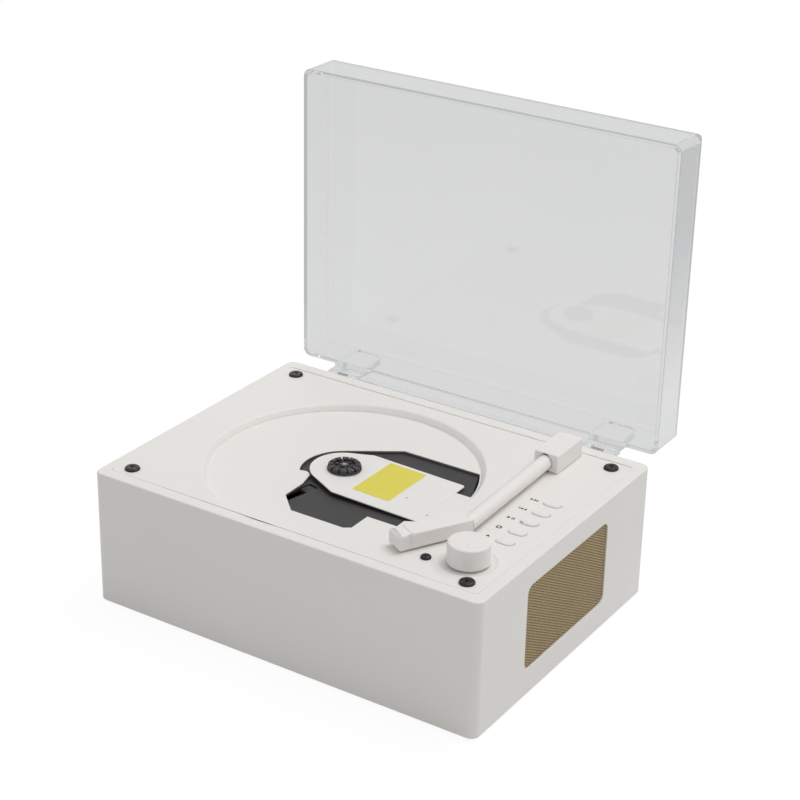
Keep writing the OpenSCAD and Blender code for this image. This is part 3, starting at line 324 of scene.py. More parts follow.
def make_painted_shade_edge_group():
    """Painted shade on the cut edge of a thin plate: dark below a level measured along a direction."""
    group = new_group("painted_shade_cut_edge", [
        ("Color", "Color", (0.8, 0.8, 0.8, 1)), ("Painted Shade Color", "Color", (0.04, 0.04, 0.04, 1)),
        ("Upward", "Vector", (0.0, 0.0, 1.0)), ("Level", "Float", 0.0),
    ], [("Color", "Color")])
    start, end = group_ends(group)
    height = node(group, "VectorMath", {0: node(group, "TexCoord").outputs["Object"],
                                        1: start.outputs["Upward"]}, operation="DOT_PRODUCT").outputs["Value"]
    above = node(group, "Math", {0: height, 1: start.outputs["Level"]}, operation="SUBTRACT").outputs[0]
    # Below the level the colour turns to the painted shade
    painted_shade_mask = ramp(group, above, 0.0, -0.06 * MM)
    send(group, end, Color=blend_colour(group, painted_shade_mask, start.outputs["Color"], start.outputs["Painted Shade Color"]))
    return group


SURFACE = make_surface_group()
EDGE_AND_HOLLOW = make_edge_and_hollow_group()
PAINTED_SHADE_EDGE = make_painted_shade_edge_group()


def colour(red, green, blue):
    """Linear colour from the values of a screen colour."""
    def linear(value):
        value /= 255
        return value / 12.92 if value <= 0.04045 else ((value + 0.055) / 1.055) ** 2.4
    return (linear(red), linear(green), linear(blue), 1)


def scaled(tone, factor):
    return tuple(channel * factor for channel in tone[:3]) + (1,)


def finish(name, tone, shade=0.9, gloss=0.5, spread=0.1, size=3000.0, depth=0.02, amount=0.5,
           tone_size=30.0, stretch=(1, 1, 1), edge=0.25, corner=0.25, edge_tone=None, painted_shade_below=None,
           **shader):
    """A procedural material. Constants of the shader are set on its own sockets.

    shade is the darker tone's part of the tone. size and depth belong to the grain, and depth is in
    millimetres. edge and corner say how far lighter edges and darker hollows show.
    painted_shade_below gives the direction and the level below which a thin plate's cut edge is painted dark
    as shade, and that dark colour.
    """
    material = bpy.data.materials.new(name)
    material.use_nodes = True
    tree = material.node_tree
    tree.nodes.clear()
    surface = node(tree, "Group")
    surface.node_tree = SURFACE
    for key, value in (("Tone", tone), ("Shade", scaled(tone, shade)), ("Tone Size", tone_size),
                       ("Tone Amount", amount), ("Gloss", gloss), ("Gloss Spread", spread),
                       ("Grain Size", size), ("Grain Depth", depth * MM), ("Stretch", stretch)):
        surface.inputs[key].default_value = value
    edge_and_hollow_node = node(tree, "Group")
    edge_and_hollow_node.node_tree = EDGE_AND_HOLLOW
    edge_and_hollow_node.inputs["Edge Color"].default_value = edge_tone or scaled(tone, 1.08)
    edge_and_hollow_node.inputs["Corner Color"].default_value = scaled(tone, 0.8)
    edge_and_hollow_node.inputs["Edge Amount"].default_value = edge
    edge_and_hollow_node.inputs["Corner Amount"].default_value = corner
    tree.links.new(surface.outputs["Color"], edge_and_hollow_node.inputs["Color"])
    toned = edge_and_hollow_node.outputs["Color"]
    # Painted shade on the cut edge of a thin plate
    if painted_shade_below:
        painted_edge_shade = node(tree, "Group")
        painted_edge_shade.node_tree = PAINTED_SHADE_EDGE
        painted_edge_shade.inputs["Upward"].default_value = painted_shade_below[0]
        painted_edge_shade.inputs["Level"].default_value = painted_shade_below[1]
        painted_edge_shade.inputs["Painted Shade Color"].default_value = painted_shade_below[2]
        tree.links.new(toned, painted_edge_shade.inputs["Color"])
        toned = painted_edge_shade.outputs["Color"]
    glossy = node(tree, "BsdfPrincipled", shader)
    tree.links.new(toned, glossy.inputs["Base Color"])
    tree.links.new(surface.outputs["Roughness"], glossy.inputs["Roughness"])
    tree.links.new(surface.outputs["Normal"], glossy.inputs["Normal"])
    end = node(tree, "OutputMaterial")
    tree.links.new(glossy.outputs["BSDF"], end.inputs["Surface"])
    return material


WHITE_PLASTIC = colour(238, 235, 231)
WHITE_SHELL = finish("white_shell", WHITE_PLASTIC, 0.975, 0.46, 0.1, 3600.0, 0.012, edge=0.1, corner=0.08)
# The deck's walls round the opening, below the well floor, are painted dark as shade, so that they blend with
# the dark plate beneath
WHITE_DECK = finish("white_deck", WHITE_PLASTIC, 0.975, 0.46, 0.1, 3600.0, 0.012, edge=0.04, corner=0.04,
                    painted_shade_below=((0, 0, 1), (WELL_Z - 0.25) * MM, colour(118, 115, 113)))
# Direction square to the sloped cover, and the level along it below which the cover's cut edge is painted
# dark, as the shadow under the thin cover
LEAN = math.radians(COVER_SLOPE)
COVER_UP = Vector((math.sin(LEAN), 0, math.cos(LEAN)))
COVER_SHADE_LEVEL = COVER_UP.dot(Vector((COVER_END_X, DISC[1], WELL_Z))) * MM - 0.35 * MM
# The cover's cut edge is painted near black below that level, as the shadow under the thin cover
WHITE_COVER = finish("white_cover_plate", colour(239, 236, 233), 0.975, 0.40, 0.1, 3000.0, 0.008,
                     edge=0.0, corner=0.0, painted_shade_below=(COVER_UP, COVER_SHADE_LEVEL, colour(60, 58, 57)))
WHITE_TOUCH = finish("white_touched_parts", colour(240, 236, 233), 0.975, 0.38, 0.12, 3200.0, 0.008)
BLACK_HUB = finish("black_hub_plastic", colour(38, 35, 37), 0.7, 0.40, 0.2, 2600.0, 0.02, edge=0.5,
                   edge_tone=colour(84, 80, 82))
DARK_PLATE = finish("dark_plate_steel", colour(48, 46, 46), 0.86, 0.55, 0.15, 5200.0, 0.01, edge=0.3,
                    edge_tone=colour(90, 87, 86))
BRASS_MESH = finish("brass_mesh", colour(166, 144, 101), 0.85, 0.42, 0.15, 5200.0, 0.006, Metallic=0.35)
BLACK_SCREW = finish("black_screw_steel", colour(30, 29, 29), 0.7, 0.30, 0.2, 4200.0, 0.012, edge=0.6,
                     edge_tone=colour(110, 108, 108), Metallic=0.4)
STEEL = finish("bright_steel", colour(186, 187, 189), 0.85, 0.28, 0.15, 2600.0, 0.006,
               stretch=(1, 1, 0.1), Metallic=1.0)
MOTOR_CAN = finish("motor_can_steel", colour(172, 173, 174), 0.82, 0.34, 0.2, 2200.0, 0.01, Metallic=0.9)
STICKER = finish("yellow_sticker", colour(229, 217, 82), 0.93, 0.42, 0.1, 2400.0, 0.008, amount=0.7,
                 tone_size=90.0)
RUBBER = finish("black_rubber", colour(45, 45, 46), 0.8, 0.78, 0.1, 3600.0, 0.04)
BOARD = finish("green_board", colour(24, 84, 52), 0.75, 0.36, 0.15, 1800.0, 0.02, tone_size=120.0)
CONE = finish("grey_cone_paper", colour(62, 60, 58), 0.7, 0.85, 0.08, 1500.0, 0.08, tone_size=220.0)
INK = finish("black_deck_ink", colour(32, 30, 30), 0.8, 0.6, 0.1, 3600.0, 0.004)
LENS = finish("coated_lens", colour(18, 20, 34), 0.8, 0.05, 0.02, 900.0, 0.001, edge=0.0, corner=0.0)
FAINT = finish("faint_grey_mark", colour(158, 155, 152), 0.9, 0.5, 0.1, 3000.0, 0.004)


# Bounces after which the lid's thick edges give off a painted grey glow in place of the light caught inside
# them
LID_DEPTH = 5
# Heights on the open lid between which its painted grey glow changes, its pane's painted shade grows and its
# right wall's painted shade fades in, and the inside of its right wall, in metres
LID_FOOT = (0.075, 0.09)
LID_PANE = (0.10, 0.19)
LID_WALL = (0.095, 0.17)
LID_WALL_X = (0.090, 0.095)


def product(tree, first, second):
    return node(tree, "Math", {0: first, 1: second}, operation="MULTIPLY").outputs[0]


def right_wall_shade_mask(tree, at, height):
    """Mask of painted shade on the lid's right wall, which fades out towards the hinge."""
    beside = ramp(tree, node(tree, "SeparateXYZ", {"Vector": at.outputs["Object"]}).outputs["X"], *LID_WALL_X)
    facing = node(tree, "SeparateXYZ", {"Vector": at.outputs["Normal"]}).outputs["X"]
    facing = ramp(tree, node(tree, "Math", {0: facing}, operation="ABSOLUTE").outputs[0], 0.90, 0.99)
    return product(tree, product(tree, beside, facing), ramp(tree, height, *LID_WALL))


def make_clear_plastic():
    """Clear moulded plastic with a faint cool cast, fine handling marks and a few dust specks, with painted
    shade on its upper pane and right wall and a painted grey glow in its thick edges.
    """
    material = bpy.data.materials.new("clear_lid_plastic")
    material.use_nodes = True
    tree = material.node_tree
    tree.nodes.clear()
    at = node(tree, "TexCoord")
    spot = at.outputs["Object"]
    height = node(tree, "SeparateXYZ", {"Vector": spot}).outputs["Z"]
    haze = node(tree, "TexNoise", {"Vector": spot, "Scale": 35.0, "Detail": 5.0, "Roughness": 0.6})
    wipe = node(tree, "VectorMath", {0: spot, 1: (60.0, 60.0, 900.0)}, operation="MULTIPLY")
    marks = node(tree, "TexNoise", {"Vector": wipe.outputs[0], "Scale": 3.0, "Detail": 3.0})
    dust = node(tree, "TexVoronoi", {"Vector": spot, "Scale": 170.0}, feature="F1")
    speck = ramp(tree, dust.outputs["Distance"], 0.10, 0.06)
    lid_tint_and_shade = blend_colour(tree, ramp(tree, haze.outputs["Fac"], 0.3, 0.7), (0.968, 0.973, 0.978, 1),
                        (0.982, 0.986, 0.990, 1))
    # Painted shade: the pane grows darker towards the top
    lid_tint_and_shade = blend_colour(tree, ramp(tree, height, *LID_PANE, 0.0, 0.5), lid_tint_and_shade, (0.895, 0.900, 0.907, 1))
    # Painted shade: the inside of the right wall is much darker
    lid_tint_and_shade = blend_colour(tree, right_wall_shade_mask(tree, at, height), lid_tint_and_shade, (0.70, 0.705, 0.712, 1))
    lid_tint_and_shade = blend_colour(tree, speck, lid_tint_and_shade, (0.92, 0.925, 0.93, 1))
    # Painted glow: at that depth the lid gives off grey light, lighter near its foot, and its colour turns
    # black so that no ray goes further
    depth = node(tree, "LightPath").outputs["Ray Depth"]
    deep = ramp(tree, depth, LID_DEPTH - 1, LID_DEPTH)
    past = ramp(tree, depth, LID_DEPTH, LID_DEPTH + 1)
    once = node(tree, "Math", {0: deep, 1: past}, operation="SUBTRACT").outputs[0]
    caught = blend_colour(tree, ramp(tree, height, *LID_FOOT), (0.53, 0.535, 0.54, 1),
                          (0.46, 0.465, 0.47, 1))
    glow = blend_colour(tree, once, (0, 0, 0, 1), caught)
    lid_tint_and_shade = blend_colour(tree, deep, lid_tint_and_shade, (0.0, 0.0, 0.0, 1))
    dull = ramp(tree, marks.outputs["Fac"], 0.55, 0.85, 0.012, 0.04)
    wave = node(tree, "Bump", {"Strength": 0.25, "Distance": 0.004 * MM, "Height": haze.outputs["Fac"]})
    clear = node(tree, "BsdfPrincipled", {"Transmission Weight": 1.0, "IOR": 1.42, "Metallic": 0.0,
                                          "Emission Strength": 1.0})
    tree.links.new(lid_tint_and_shade, clear.inputs["Base Color"])
    tree.links.new(glow, clear.inputs["Emission Color"])
    tree.links.new(dull, clear.inputs["Roughness"])
    tree.links.new(wave.outputs["Normal"], clear.inputs["Normal"])
    end = node(tree, "OutputMaterial")
    tree.links.new(clear.outputs["BSDF"], end.inputs["Surface"])
    return material


CLEAR = make_clear_plastic()

# Inner parts keep their CAD solids, with a finish for each

for material, names in (
        (STEEL, ("speaker_screws", "hinge_brackets", "hinge_bracket_screws", "hinge_pins", "chassis_screws",
                 "guide_rods", "button_board_screws", "board_screws", "pot_shaft", "spindle_shaft",
                 "feed_screw", "arm_post", "arm_clip", "speaker_basket")),
        (MOTOR_CAN, ("spindle_motor", "feed_motor", "speaker_magnet", "volume_pot")),
        (RUBBER, ("rubber_feet", "chassis_dampers")),
        (BOARD, ("button_board", "main_board")),
        (CONE, ("speaker_cone",)),
        (LENS, ("objective_lens",)),
        (BLACK_HUB, ("board_parts", "tact_switches", "power_socket", "audio_socket", "pickup_sled"))):
    for name in names:
        NODES[name].data.materials.clear()
        NODES[name].data.materials.append(material)


# Case, deck and the parts on it, with their edges rounded

# Lines just inside the edges of the deck, and the radius of the lip of its disc well, in millimetres
DECK_SIDE = 94.9
DECK_FRONT = -68.9
DECK_BACK = 67.2
WELL_LIP_R = 63.3
BACK_GROOVE = 0.5
# Radii of the cover's hole and the turntable, and the level of the dark plate
COVER_HOLE_R = 7.6
TURNTABLE_R = 7.3
PLATE_TOP = 60.45


def near_outside(spot, depth):
    return abs(spot.x) > CASE_SIDE - depth or abs(spot.y) > CASE_FRONT - depth


def case_share(spot):
    """Wide rounding on the outer edges, and a narrow one in the seat of the deck."""
    if spot.z > DECK_TOP - 0.7 and near_outside(spot, 1.5):
        return 1.0
    if spot.z < 0.5 and near_outside(spot, 1.5):
        return 0.7
    return 0.45 if spot.z > DECK_TOP - 0.7 and spot.y > 67.0 else 0.15


def sloped_rim(spot):
    """The rim round the deck falls slightly towards the outside."""
    if spot.z > DECK_TOP - 0.1 and near_outside(spot, 1.6):
        spot.z -= 0.4
    return spot


def from_disc(spot):
    return math.hypot(spot.x - DISC[0], spot.y - DISC[1])


def about_disc(spot, radius):
    """The point at the given distance from the axis of the disc."""
    away = Vector((spot.x - DISC[0], spot.y - DISC[1]))
    away *= radius / away.length
    return Vector((DISC[0] + away.x, DISC[1] + away.y, spot.z))


def deck_share(spot):
    """Widest at the lip of the disc well, and nearly sharp where the deck meets the case."""
    if spot.z > DECK_TOP - 0.2 and abs(from_disc(spot) - WELL_LIP_R) < 1:
        return 2.2
    if spot.z > DECK_TOP - 0.5:
        in_case = abs(spot.x) > DECK_SIDE or spot.y < DECK_FRONT
        return 0.1 if in_case and spot.y < DECK_BACK - 0.4 else 0.6
    return 0.3


def deck_in_case(spot):
    """The deck fills its seat at the sides and the front, and leaves a narrow groove at the back."""
    if spot.z > DECK_TOP - 2.5:
        if abs(spot.x) > DECK_SIDE:
            spot.x += math.copysign(PLAY, spot.x)
        if spot.y < DECK_FRONT:
            spot.y -= PLAY
        if spot.y > DECK_BACK:
            spot.y -= BACK_GROOVE
    return spot


def cover_share(spot):
    """The rounding fades out along the corner, so that the end lies flush in the floor of the well."""
    corner_r = 1.5
    return max(0.1, min(1.0, (COVER_END_X + PLAY - spot.x) / corner_r))


def cover_to_wall(spot):
    """The cover meets the floor of the well without a gap, and its hole ends under the hub."""
    moved = about_disc(spot, COVER_HOLE_R) if from_disc(spot) < 9 else spot.copy()
    moved.x += PLAY * max(spot.x, 0) / COVER_END_X
    moved.z -= (moved.x - spot.x) * math.tan(LEAN)
    return moved


def under_hub(spot):
    """The edge of the turntable ends under the hub."""
    return about_disc(spot, TURNTABLE_R) if from_disc(spot) > 7 else spot


def raised_plate(spot):
    """The top of the dark plate lies a little higher than in the CAD."""
    if spot.z > 59.8:
        spot.z = PLATE_TOP
    return spot


# Middle of the sticker in the CAD and as dressed, with the change of its width and length
CAD_LABEL = (10.55, -5.25)
LABEL = (10.45, -3.65)
LABEL_SCALE = (0.925, 1.085)
LABEL_TURN = 0.012


def moved_label(spot):
    """Moves, scales and slightly turns the sticker on the sloped cover."""
    along = spot.y - CAD_LABEL[1]
    x = LABEL[0] + (spot.x - CAD_LABEL[0]) * LABEL_SCALE[0] + LABEL_TURN * along
    y = LABEL[1] + along * LABEL_SCALE[1]
    return Vector((x, y, spot.z - (x - spot.x) * math.tan(LEAN)))


def lid_share(spot):
    """The lower edge of the strip between the hinge lugs stays sharp."""
    return 0.0 if abs(spot.x) < 62.0 and spot.y < 85.4 and spot.z < 65.6 else 1.0


# Middle of the first button, and the distance from one button to the next
BUTTON_ROW = (82.4, 15.4, 10.1)
# Half the straight part of a button, and the radius and height of its rings round that
BUTTON_HALF = 1.65
PILLOW = {"wall": (2.63, 65.42), "shoulder": (2.26, 65.70), "crown": (1.75, 65.95)}


def pillow(index):
    """Turns the stepped cap of a button into a low cushion that nearly fills its hole."""
    middle_y = BUTTON_ROW[1] - index * BUTTON_ROW[2]

    def reshape(spot):
        if spot.z < 62.4:
            return spot
        x = spot.x - BUTTON_ROW[0]
        straight = max(-BUTTON_HALF, min(BUTTON_HALF, x))
        away = Vector((x - straight, spot.y - middle_y))
        if away.length < 1e-6:
            return spot
        radius, height = PILLOW["wall"]
        if spot.z < DECK_TOP:
            height = spot.z
        elif spot.z > 65.85:
            radius, height = PILLOW["crown"]
        elif away.length < 2.2:
            radius, height = PILLOW["shoulder"]
        away *= radius / away.length
        return Vector((BUTTON_ROW[0] + straight + away.x, middle_y + away.y, height))
    return reshape


dressed("case_body", WHITE_SHELL, "white_plastic", 0.8, 4, case_share, sloped_rim)
dressed("deck_panel", WHITE_DECK, "white_plastic", 0.4, 4, deck_share, deck_in_case)
dressed("pickup_cover", WHITE_COVER, "white_cover", 0.2, 3, cover_share, cover_to_wall, 15)
dressed("mechanism_chassis", DARK_PLATE, "dark_chassis", 0.1, 2, reshape=raised_plate, smoothness=15)
dressed("cover_label", STICKER, "sticker", 0.03, 1, reshape=moved_label, smoothness=15)
dressed("turntable", WHITE_COVER, "white_cover", 0.2, 2, reshape=under_hub)
dressed("volume_knob", WHITE_TOUCH, "white_plastic", 0.12, 2)
dressed("tone_arm", WHITE_TOUCH, "white_plastic", 0.25, 3)
dressed("arm_block", WHITE_TOUCH, "white_plastic", 0.9, 4,
        lambda spot: 1.0 if spot.z > DECK_TOP + 0.5 else 0.2)
for index, name in enumerate(("first_button", "second_button", "third_button", "fourth_button",
                              "fifth_button")):
    dressed(name, WHITE_TOUCH, "white_plastic", 0.15, 3, reshape=pillow(index), smoothness=60)
lid = dressed("dust_lid", CLEAR, "clear_plastic", 0.3, 3, lid_share)
lid.visible_shadow = False
lid.visible_diffuse = False


# Speaker grille: a sheet with staggered round holes, trimmed to the opening

# Middle of the opening, its width, height and rounded corners, in millimetres
GRILLE_MIDDLE = (99.4, 0.0, 33.3)
GRILLE_SIZE = (70.0, 40.2, 3.9)


def trim(piece, point, normal):
    """Cuts away what lies beyond a plane and closes the cut."""
    open_mesh(piece)
    bpy.ops.mesh.bisect(plane_co=point, plane_no=normal, use_fill=True, clear_outer=True)
    close_mesh()


def make_grille():
    """The sheet. Its holes lie at one pitch from each other in all six directions."""
    pitch = 1.32 * MM
    hole = 0.44 * MM
    thick = 0.5 * MM
    side = pitch / math.sqrt(3)
    columns = 33
    lines = 34
    bpy.ops.mesh.primitive_circle_add(vertices=12, radius=side, fill_type="NOTHING")
    sheet = bpy.context.object
    # Twelve corners on a hexagon, a round hole in it, and the hole's wall and the lower face
    mark(sheet, "VERT", lambda p: round(math.degrees(math.atan2(p.y, p.x))) % 60 == 30)
    bpy.ops.transform.resize(value=(math.cos(math.pi / 6),) * 3, center_override=(0, 0, 0))
    bpy.ops.mesh.select_all(action="SELECT")
    bpy.ops.mesh.extrude_edges_move()
    bpy.ops.transform.resize(value=(0.6,) * 3, center_override=(0, 0, 0))
    close_mesh()
    for vertex in sheet.data.vertices:
        if vertex.select:
            vertex.co = vertex.co.normalized() * hole
    bpy.ops.object.mode_set(mode="EDIT")
    bpy.ops.mesh.extrude_edges_move(TRANSFORM_OT_translate={"value": (0, 0, -thick)})
    bpy.ops.mesh.extrude_edges_move()
    bpy.ops.transform.resize(value=(1.5, 1.5, 1), center_override=(0, 0, -thick))
    close_mesh()
    ring = [v.co.copy() for v in sheet.data.vertices if v.co.z > -thick / 2 and v.co.length > side * 0.8]
    for vertex in sheet.data.vertices:
        if vertex.select:
            near = min(ring, key=lambda p: (p.normalized() - Vector((*vertex.co.xy, 0)).normalized()).length)
            vertex.co = (near.x, near.y, -thick)
    outward(sheet)
    # One cell becomes a staggered pair, and the pair fills the sheet
    step = 1.5 * side
    other = twin(sheet, "other_cell")
    other.location = (step, pitch / 2, 0)
    settle(other)
    sheet = joined([sheet, other], "speaker_grille_sheet")
    for axis, count, spacing in ((0, columns, 2 * step), (1, lines, pitch)):
        rows = sheet.modifiers.new("rows", "ARRAY")
        rows.count = count
        rows.use_relative_offset = False
        rows.use_constant_offset = True
        rows.constant_offset_displace = [spacing if i == axis else 0 for i in range(3)]
    apply_all(sheet)
    sheet.location = (-(columns - 1) * step, -(lines - 1) / 2 * pitch, 0)
    settle(sheet)
    open_mesh(sheet)
    bpy.ops.mesh.remove_doubles(threshold=2e-6)
    close_mesh()
    width, height, corner = GRILLE_SIZE[0] * MM / 2, GRILLE_SIZE[1] * MM / 2, GRILLE_SIZE[2] * MM
    for x, y in ((1, 0), (-1, 0), (0, 1), (0, -1)):
        trim(sheet, (x * width, y * height, 0), (x, y, 0))
    for quarter_x in (-1, 1):
        for quarter_y in (-1, 1):
            for angle in (15, 30, 45, 60, 75):
                across = math.cos(math.radians(angle)) * quarter_x
                along = math.sin(math.radians(angle)) * quarter_y
                point = (quarter_x * (width - corner) + across * corner,
                         quarter_y * (height - corner) + along * corner, 0)
                trim(sheet, point, (across, along, 0))
    outward(sheet)
    pick(sheet)
    sheet.rotation_euler = (math.radians(90), 0, math.radians(90))
    sheet.location = [value * MM for value in GRILLE_MIDDLE]
    settle(sheet)
    smooth(sheet, 40)
    return sheet


place(make_grille(), "player", "grille_brass", BRASS_MESH, "speaker_grille")


# Screws with rounded heads and a cross recess

# Radii of the heads and their places on the deck, in millimetres
DECK_SCREW_R = 3.45
REST_SCREW_R = 2.35
DECK_SCREWS = [(x, y) for x in (-87, 87) for y in (-63.3, 60.7)]
REST_SCREW = [(62.4, -55.5)]


def make_screw(radius):
    height = 1.2 * MM
    bpy.ops.mesh.primitive_cylinder_add(vertices=40, radius=radius, depth=height, location=(0, 0, height / 2))
    head = bpy.context.object
    settle(head)
    mark(head, "EDGE", lambda p, d: p.z > height * 0.9 and abs(d.z) < 0.1)
    bpy.ops.mesh.bevel(offset=height * 0.72, segments=6, affect="EDGES")
    close_mesh()
    arms = []
    for turn in (0, 90):
        bpy.ops.mesh.primitive_cube_add(size=1)
        arm = bpy.context.object
        arm.scale = (radius * 1.15, radius * 0.26, 1.6 * MM)
        arm.rotation_euler = (0, 0, math.radians(turn + 20))
        arm.location = (0, 0, height - 0.05 * MM)
        settle(arm)
        mark(arm, "VERT", lambda p: p.z < height)
        bpy.ops.transform.resize(value=(0.45, 0.45, 1), center_override=(0, 0, 0))
        close_mesh()
        arms.append(arm)
    for arm in arms:
        cut = head.modifiers.new("recess", "BOOLEAN")
        cut.operation = "DIFFERENCE"
        cut.solver = "EXACT"
        cut.object = arm
    apply_all(head)
    for arm in arms:
        bpy.data.objects.remove(arm)
    soft_edges(head, 0.06, 2, 40)
    smooth(head, 40)
    return head


def placed_copies(pattern, name, places, height):
    """Copies of a pattern at several places, each turned further than the last."""
    copies = []
    for index, (x, y) in enumerate(places):
        copy = twin(pattern, f"{name}_{index + 1}")
        copy.rotation_euler = (0, 0, math.radians(37 * index))
        copy.location = (x * MM, y * MM, height * MM)
        settle(copy)
        copies.append(copy)
    bpy.data.objects.remove(pattern)
    return joined(copies, name)


place(placed_copies(make_screw(DECK_SCREW_R * MM), "deck_screw_heads", DECK_SCREWS, DECK_TOP),
      "player", "black_screw", BLACK_SCREW, "deck_screws")
place(placed_copies(make_screw(REST_SCREW_R * MM), "rest_screw_head", REST_SCREW, DECK_TOP),
      "player", "black_screw", BLACK_SCREW, "rest_screw")


# Disc hub: a flange, fingers that grip the disc, and a ring of studs round a raised middle. Its heights
# count from the seat of the disc.

FINGERS = 12
STUDS = 6
STUD_CIRCLE_R = 3.6


def hub_disc(radius, low, high, edge):
    """A round step of the hub between two heights, with its upper rim bevelled."""
    bpy.ops.mesh.primitive_cylinder_add(vertices=48, radius=radius * MM, depth=(high - low) * MM,
                                        location=(0, 0, (low + high) / 2 * MM))
    disc = bpy.context.object
    settle(disc)
    mark(disc, "EDGE", lambda p, d: p.z > (high - 0.01) * MM and abs(d.z) < 0.1)
    bpy.ops.mesh.bevel(offset=edge * MM, segments=3, affect="EDGES")
    close_mesh()
    return disc


def make_hub():
    parts = [hub_disc(7.85, -0.7, -0.1, 0.25), hub_disc(6.2, -0.15, 0.6, 0.2), hub_disc(2.3, 0.5, 1.35, 0.4)]
    for index in range(FINGERS):
        turn = math.radians(360 / FINGERS * index)
        bpy.ops.mesh.primitive_cube_add(size=1)
        finger = bpy.context.object
        finger.scale = (2.6 * MM, 3.1 * MM, 1.75 * MM)
        finger.location = (6.15 * MM, 0, 0.7 * MM)
        settle(finger)
        mark(finger, "VERT", lambda p: p.x < 5.5 * MM)
        bpy.ops.transform.resize(value=(1, 0.66, 1), center_override=(0, 0, 0))
        close_mesh()
        mark(finger, "EDGE", lambda p, d: p.z > 1.5 * MM and p.x > 7.2 * MM)
        bpy.ops.mesh.bevel(offset=0.8 * MM, segments=4, affect="EDGES")
        close_mesh()
        soft_edges(finger, 0.15, 2)
        finger.rotation_euler = (0, 0, turn)
        settle(finger)
        parts.append(finger)
    away = STUD_CIRCLE_R * MM
    for index in range(STUDS):
        turn = math.radians(360 / STUDS * index + 15)
        bpy.ops.mesh.primitive_cylinder_add(vertices=16, radius=0.75 * MM, depth=1.0 * MM,
                                            location=(away * math.cos(turn), away * math.sin(turn), 0.8 * MM))
        stud = bpy.context.object
        settle(stud)
        mark(stud, "EDGE", lambda p, d: p.z > 1.25 * MM and abs(d.z) < 0.1)
        bpy.ops.mesh.bevel(offset=0.35 * MM, segments=3, affect="EDGES")
        close_mesh()
        parts.append(stud)
    hub = joined(parts, "disc_hub_rosette")
    hub.location = (DISC[0] * MM, DISC[1] * MM, SEAT_Z * MM)
    settle(hub)
    smooth(hub, 40)
    return hub


place(make_hub(), "spindle", "black_plastic", BLACK_HUB, "disc_hub")


# Surround of the lens: a boss that runs in the slot of the plate, on a thin shade under the plate

TRAVEL_TURN = math.radians(-13.5)
# Low and high level, near and far distance from the spindle, half the width, and rounding of the two
SHADE = (58.2, 58.55, 16.5, 24.1, 4.2, 0.1)
BOSS = (58.5, 60.05, 18.7, 24.1, 2.45, 0.25)


def sled_block(low, high, inner, outer, half, edge):
    """A block on the pickup, between two distances from the spindle along its travel."""
    bpy.ops.mesh.primitive_cube_add(size=1)
    block = bpy.context.object
    block.scale = (2 * half * MM, (outer - inner) * MM, (high - low) * MM)
    block.location = (0, -(inner + outer) / 2 * MM, (low + high) / 2 * MM)
    settle(block)
    soft_edges(block, edge, 2)
    block.rotation_euler = (0, 0, TRAVEL_TURN)
    block.location = (DISC[0] * MM, DISC[1] * MM, 0)
    settle(block)
    return block


lens_surround = joined([sled_block(*SHADE), sled_block(*BOSS)], "lens_surround")
smooth(lens_surround, 40)
place(lens_surround, "pickup", "dark_chassis", DARK_PLATE)


# Small marks on the deck: plain generic signs for the five buttons

# Middle of each sign in millimetres, and its shapes: kind, place from that middle, size and turn
SIGNS = (
    ((73.55, 14.5), (("triangle", -1.1, 0, 2.2, 1.8, -90), ("triangle", 0.6, 0, 2.2, 1.8, -90),
                     ("bar", 1.8, 0, 0.45, 1.7, 0))),
    ((73.7, 4.65), (("bar", -1.7, 0, 0.45, 1.7, 0), ("triangle", -0.4, 0, 2.2, 1.8, 90),
                    ("triangle", 1.3, 0, 2.2, 1.8, 90))),
    ((73.45, -5.5), (("triangle", -1.0, 0, 2.5, 2.0, -90), ("bar", 0.9, 0, 0.5, 1.7, 0),
                     ("bar", 1.8, 0, 0.5, 1.7, 0))),
    ((73.6, -15.4), (("ring", 0, 0, 2.8, 2.4, 0),)),
    ((73.6, -25.0), (("triangle", 0, 0.35, 2.5, 1.9, 0), ("bar", 0, -0.9, 2.2, 0.45, 0))),
)
# Places of the two faint grey marks
FAINT_MARKS = ((24.5, -11.3), (40.1, -19.3))


def flat_shape(kind, x, y, width, height, turn):
    """A thin plate in millimetres on the deck: a bar, a triangle or a ring."""
    if kind == "bar":
        bpy.ops.mesh.primitive_plane_add(size=1)
    else:
        bpy.ops.mesh.primitive_circle_add(vertices=3 if kind == "triangle" else 28, radius=0.5,
                                          fill_type="NGON", rotation=(0, 0, math.radians(turn)))
    shape = bpy.context.object
    shape.scale = (width * MM, height * MM, MM)
    shape.location = (x * MM, y * MM, (DECK_TOP + 0.002) * MM)
    settle(shape)
    if kind == "ring":
        open_mesh(shape, "FACE")
        bpy.ops.mesh.inset(thickness=0.6 * MM)
        bpy.ops.mesh.delete(type="FACE")
        close_mesh()
    open_mesh(shape, "FACE")
    bpy.ops.mesh.extrude_region_move(TRANSFORM_OT_translate={"value": (0, 0, 0.03 * MM)})
    close_mesh()
    outward(shape)
    return shape


def make_signs():
    shapes = []
    for (x, y), strokes in SIGNS:
        for kind, along, across, width, height, turn in strokes:
            shapes.append(flat_shape(kind, x + along, y + across, width, height, turn))
    return joined(shapes, "deck_signs")


place(make_signs(), "player", "black_plastic", INK)


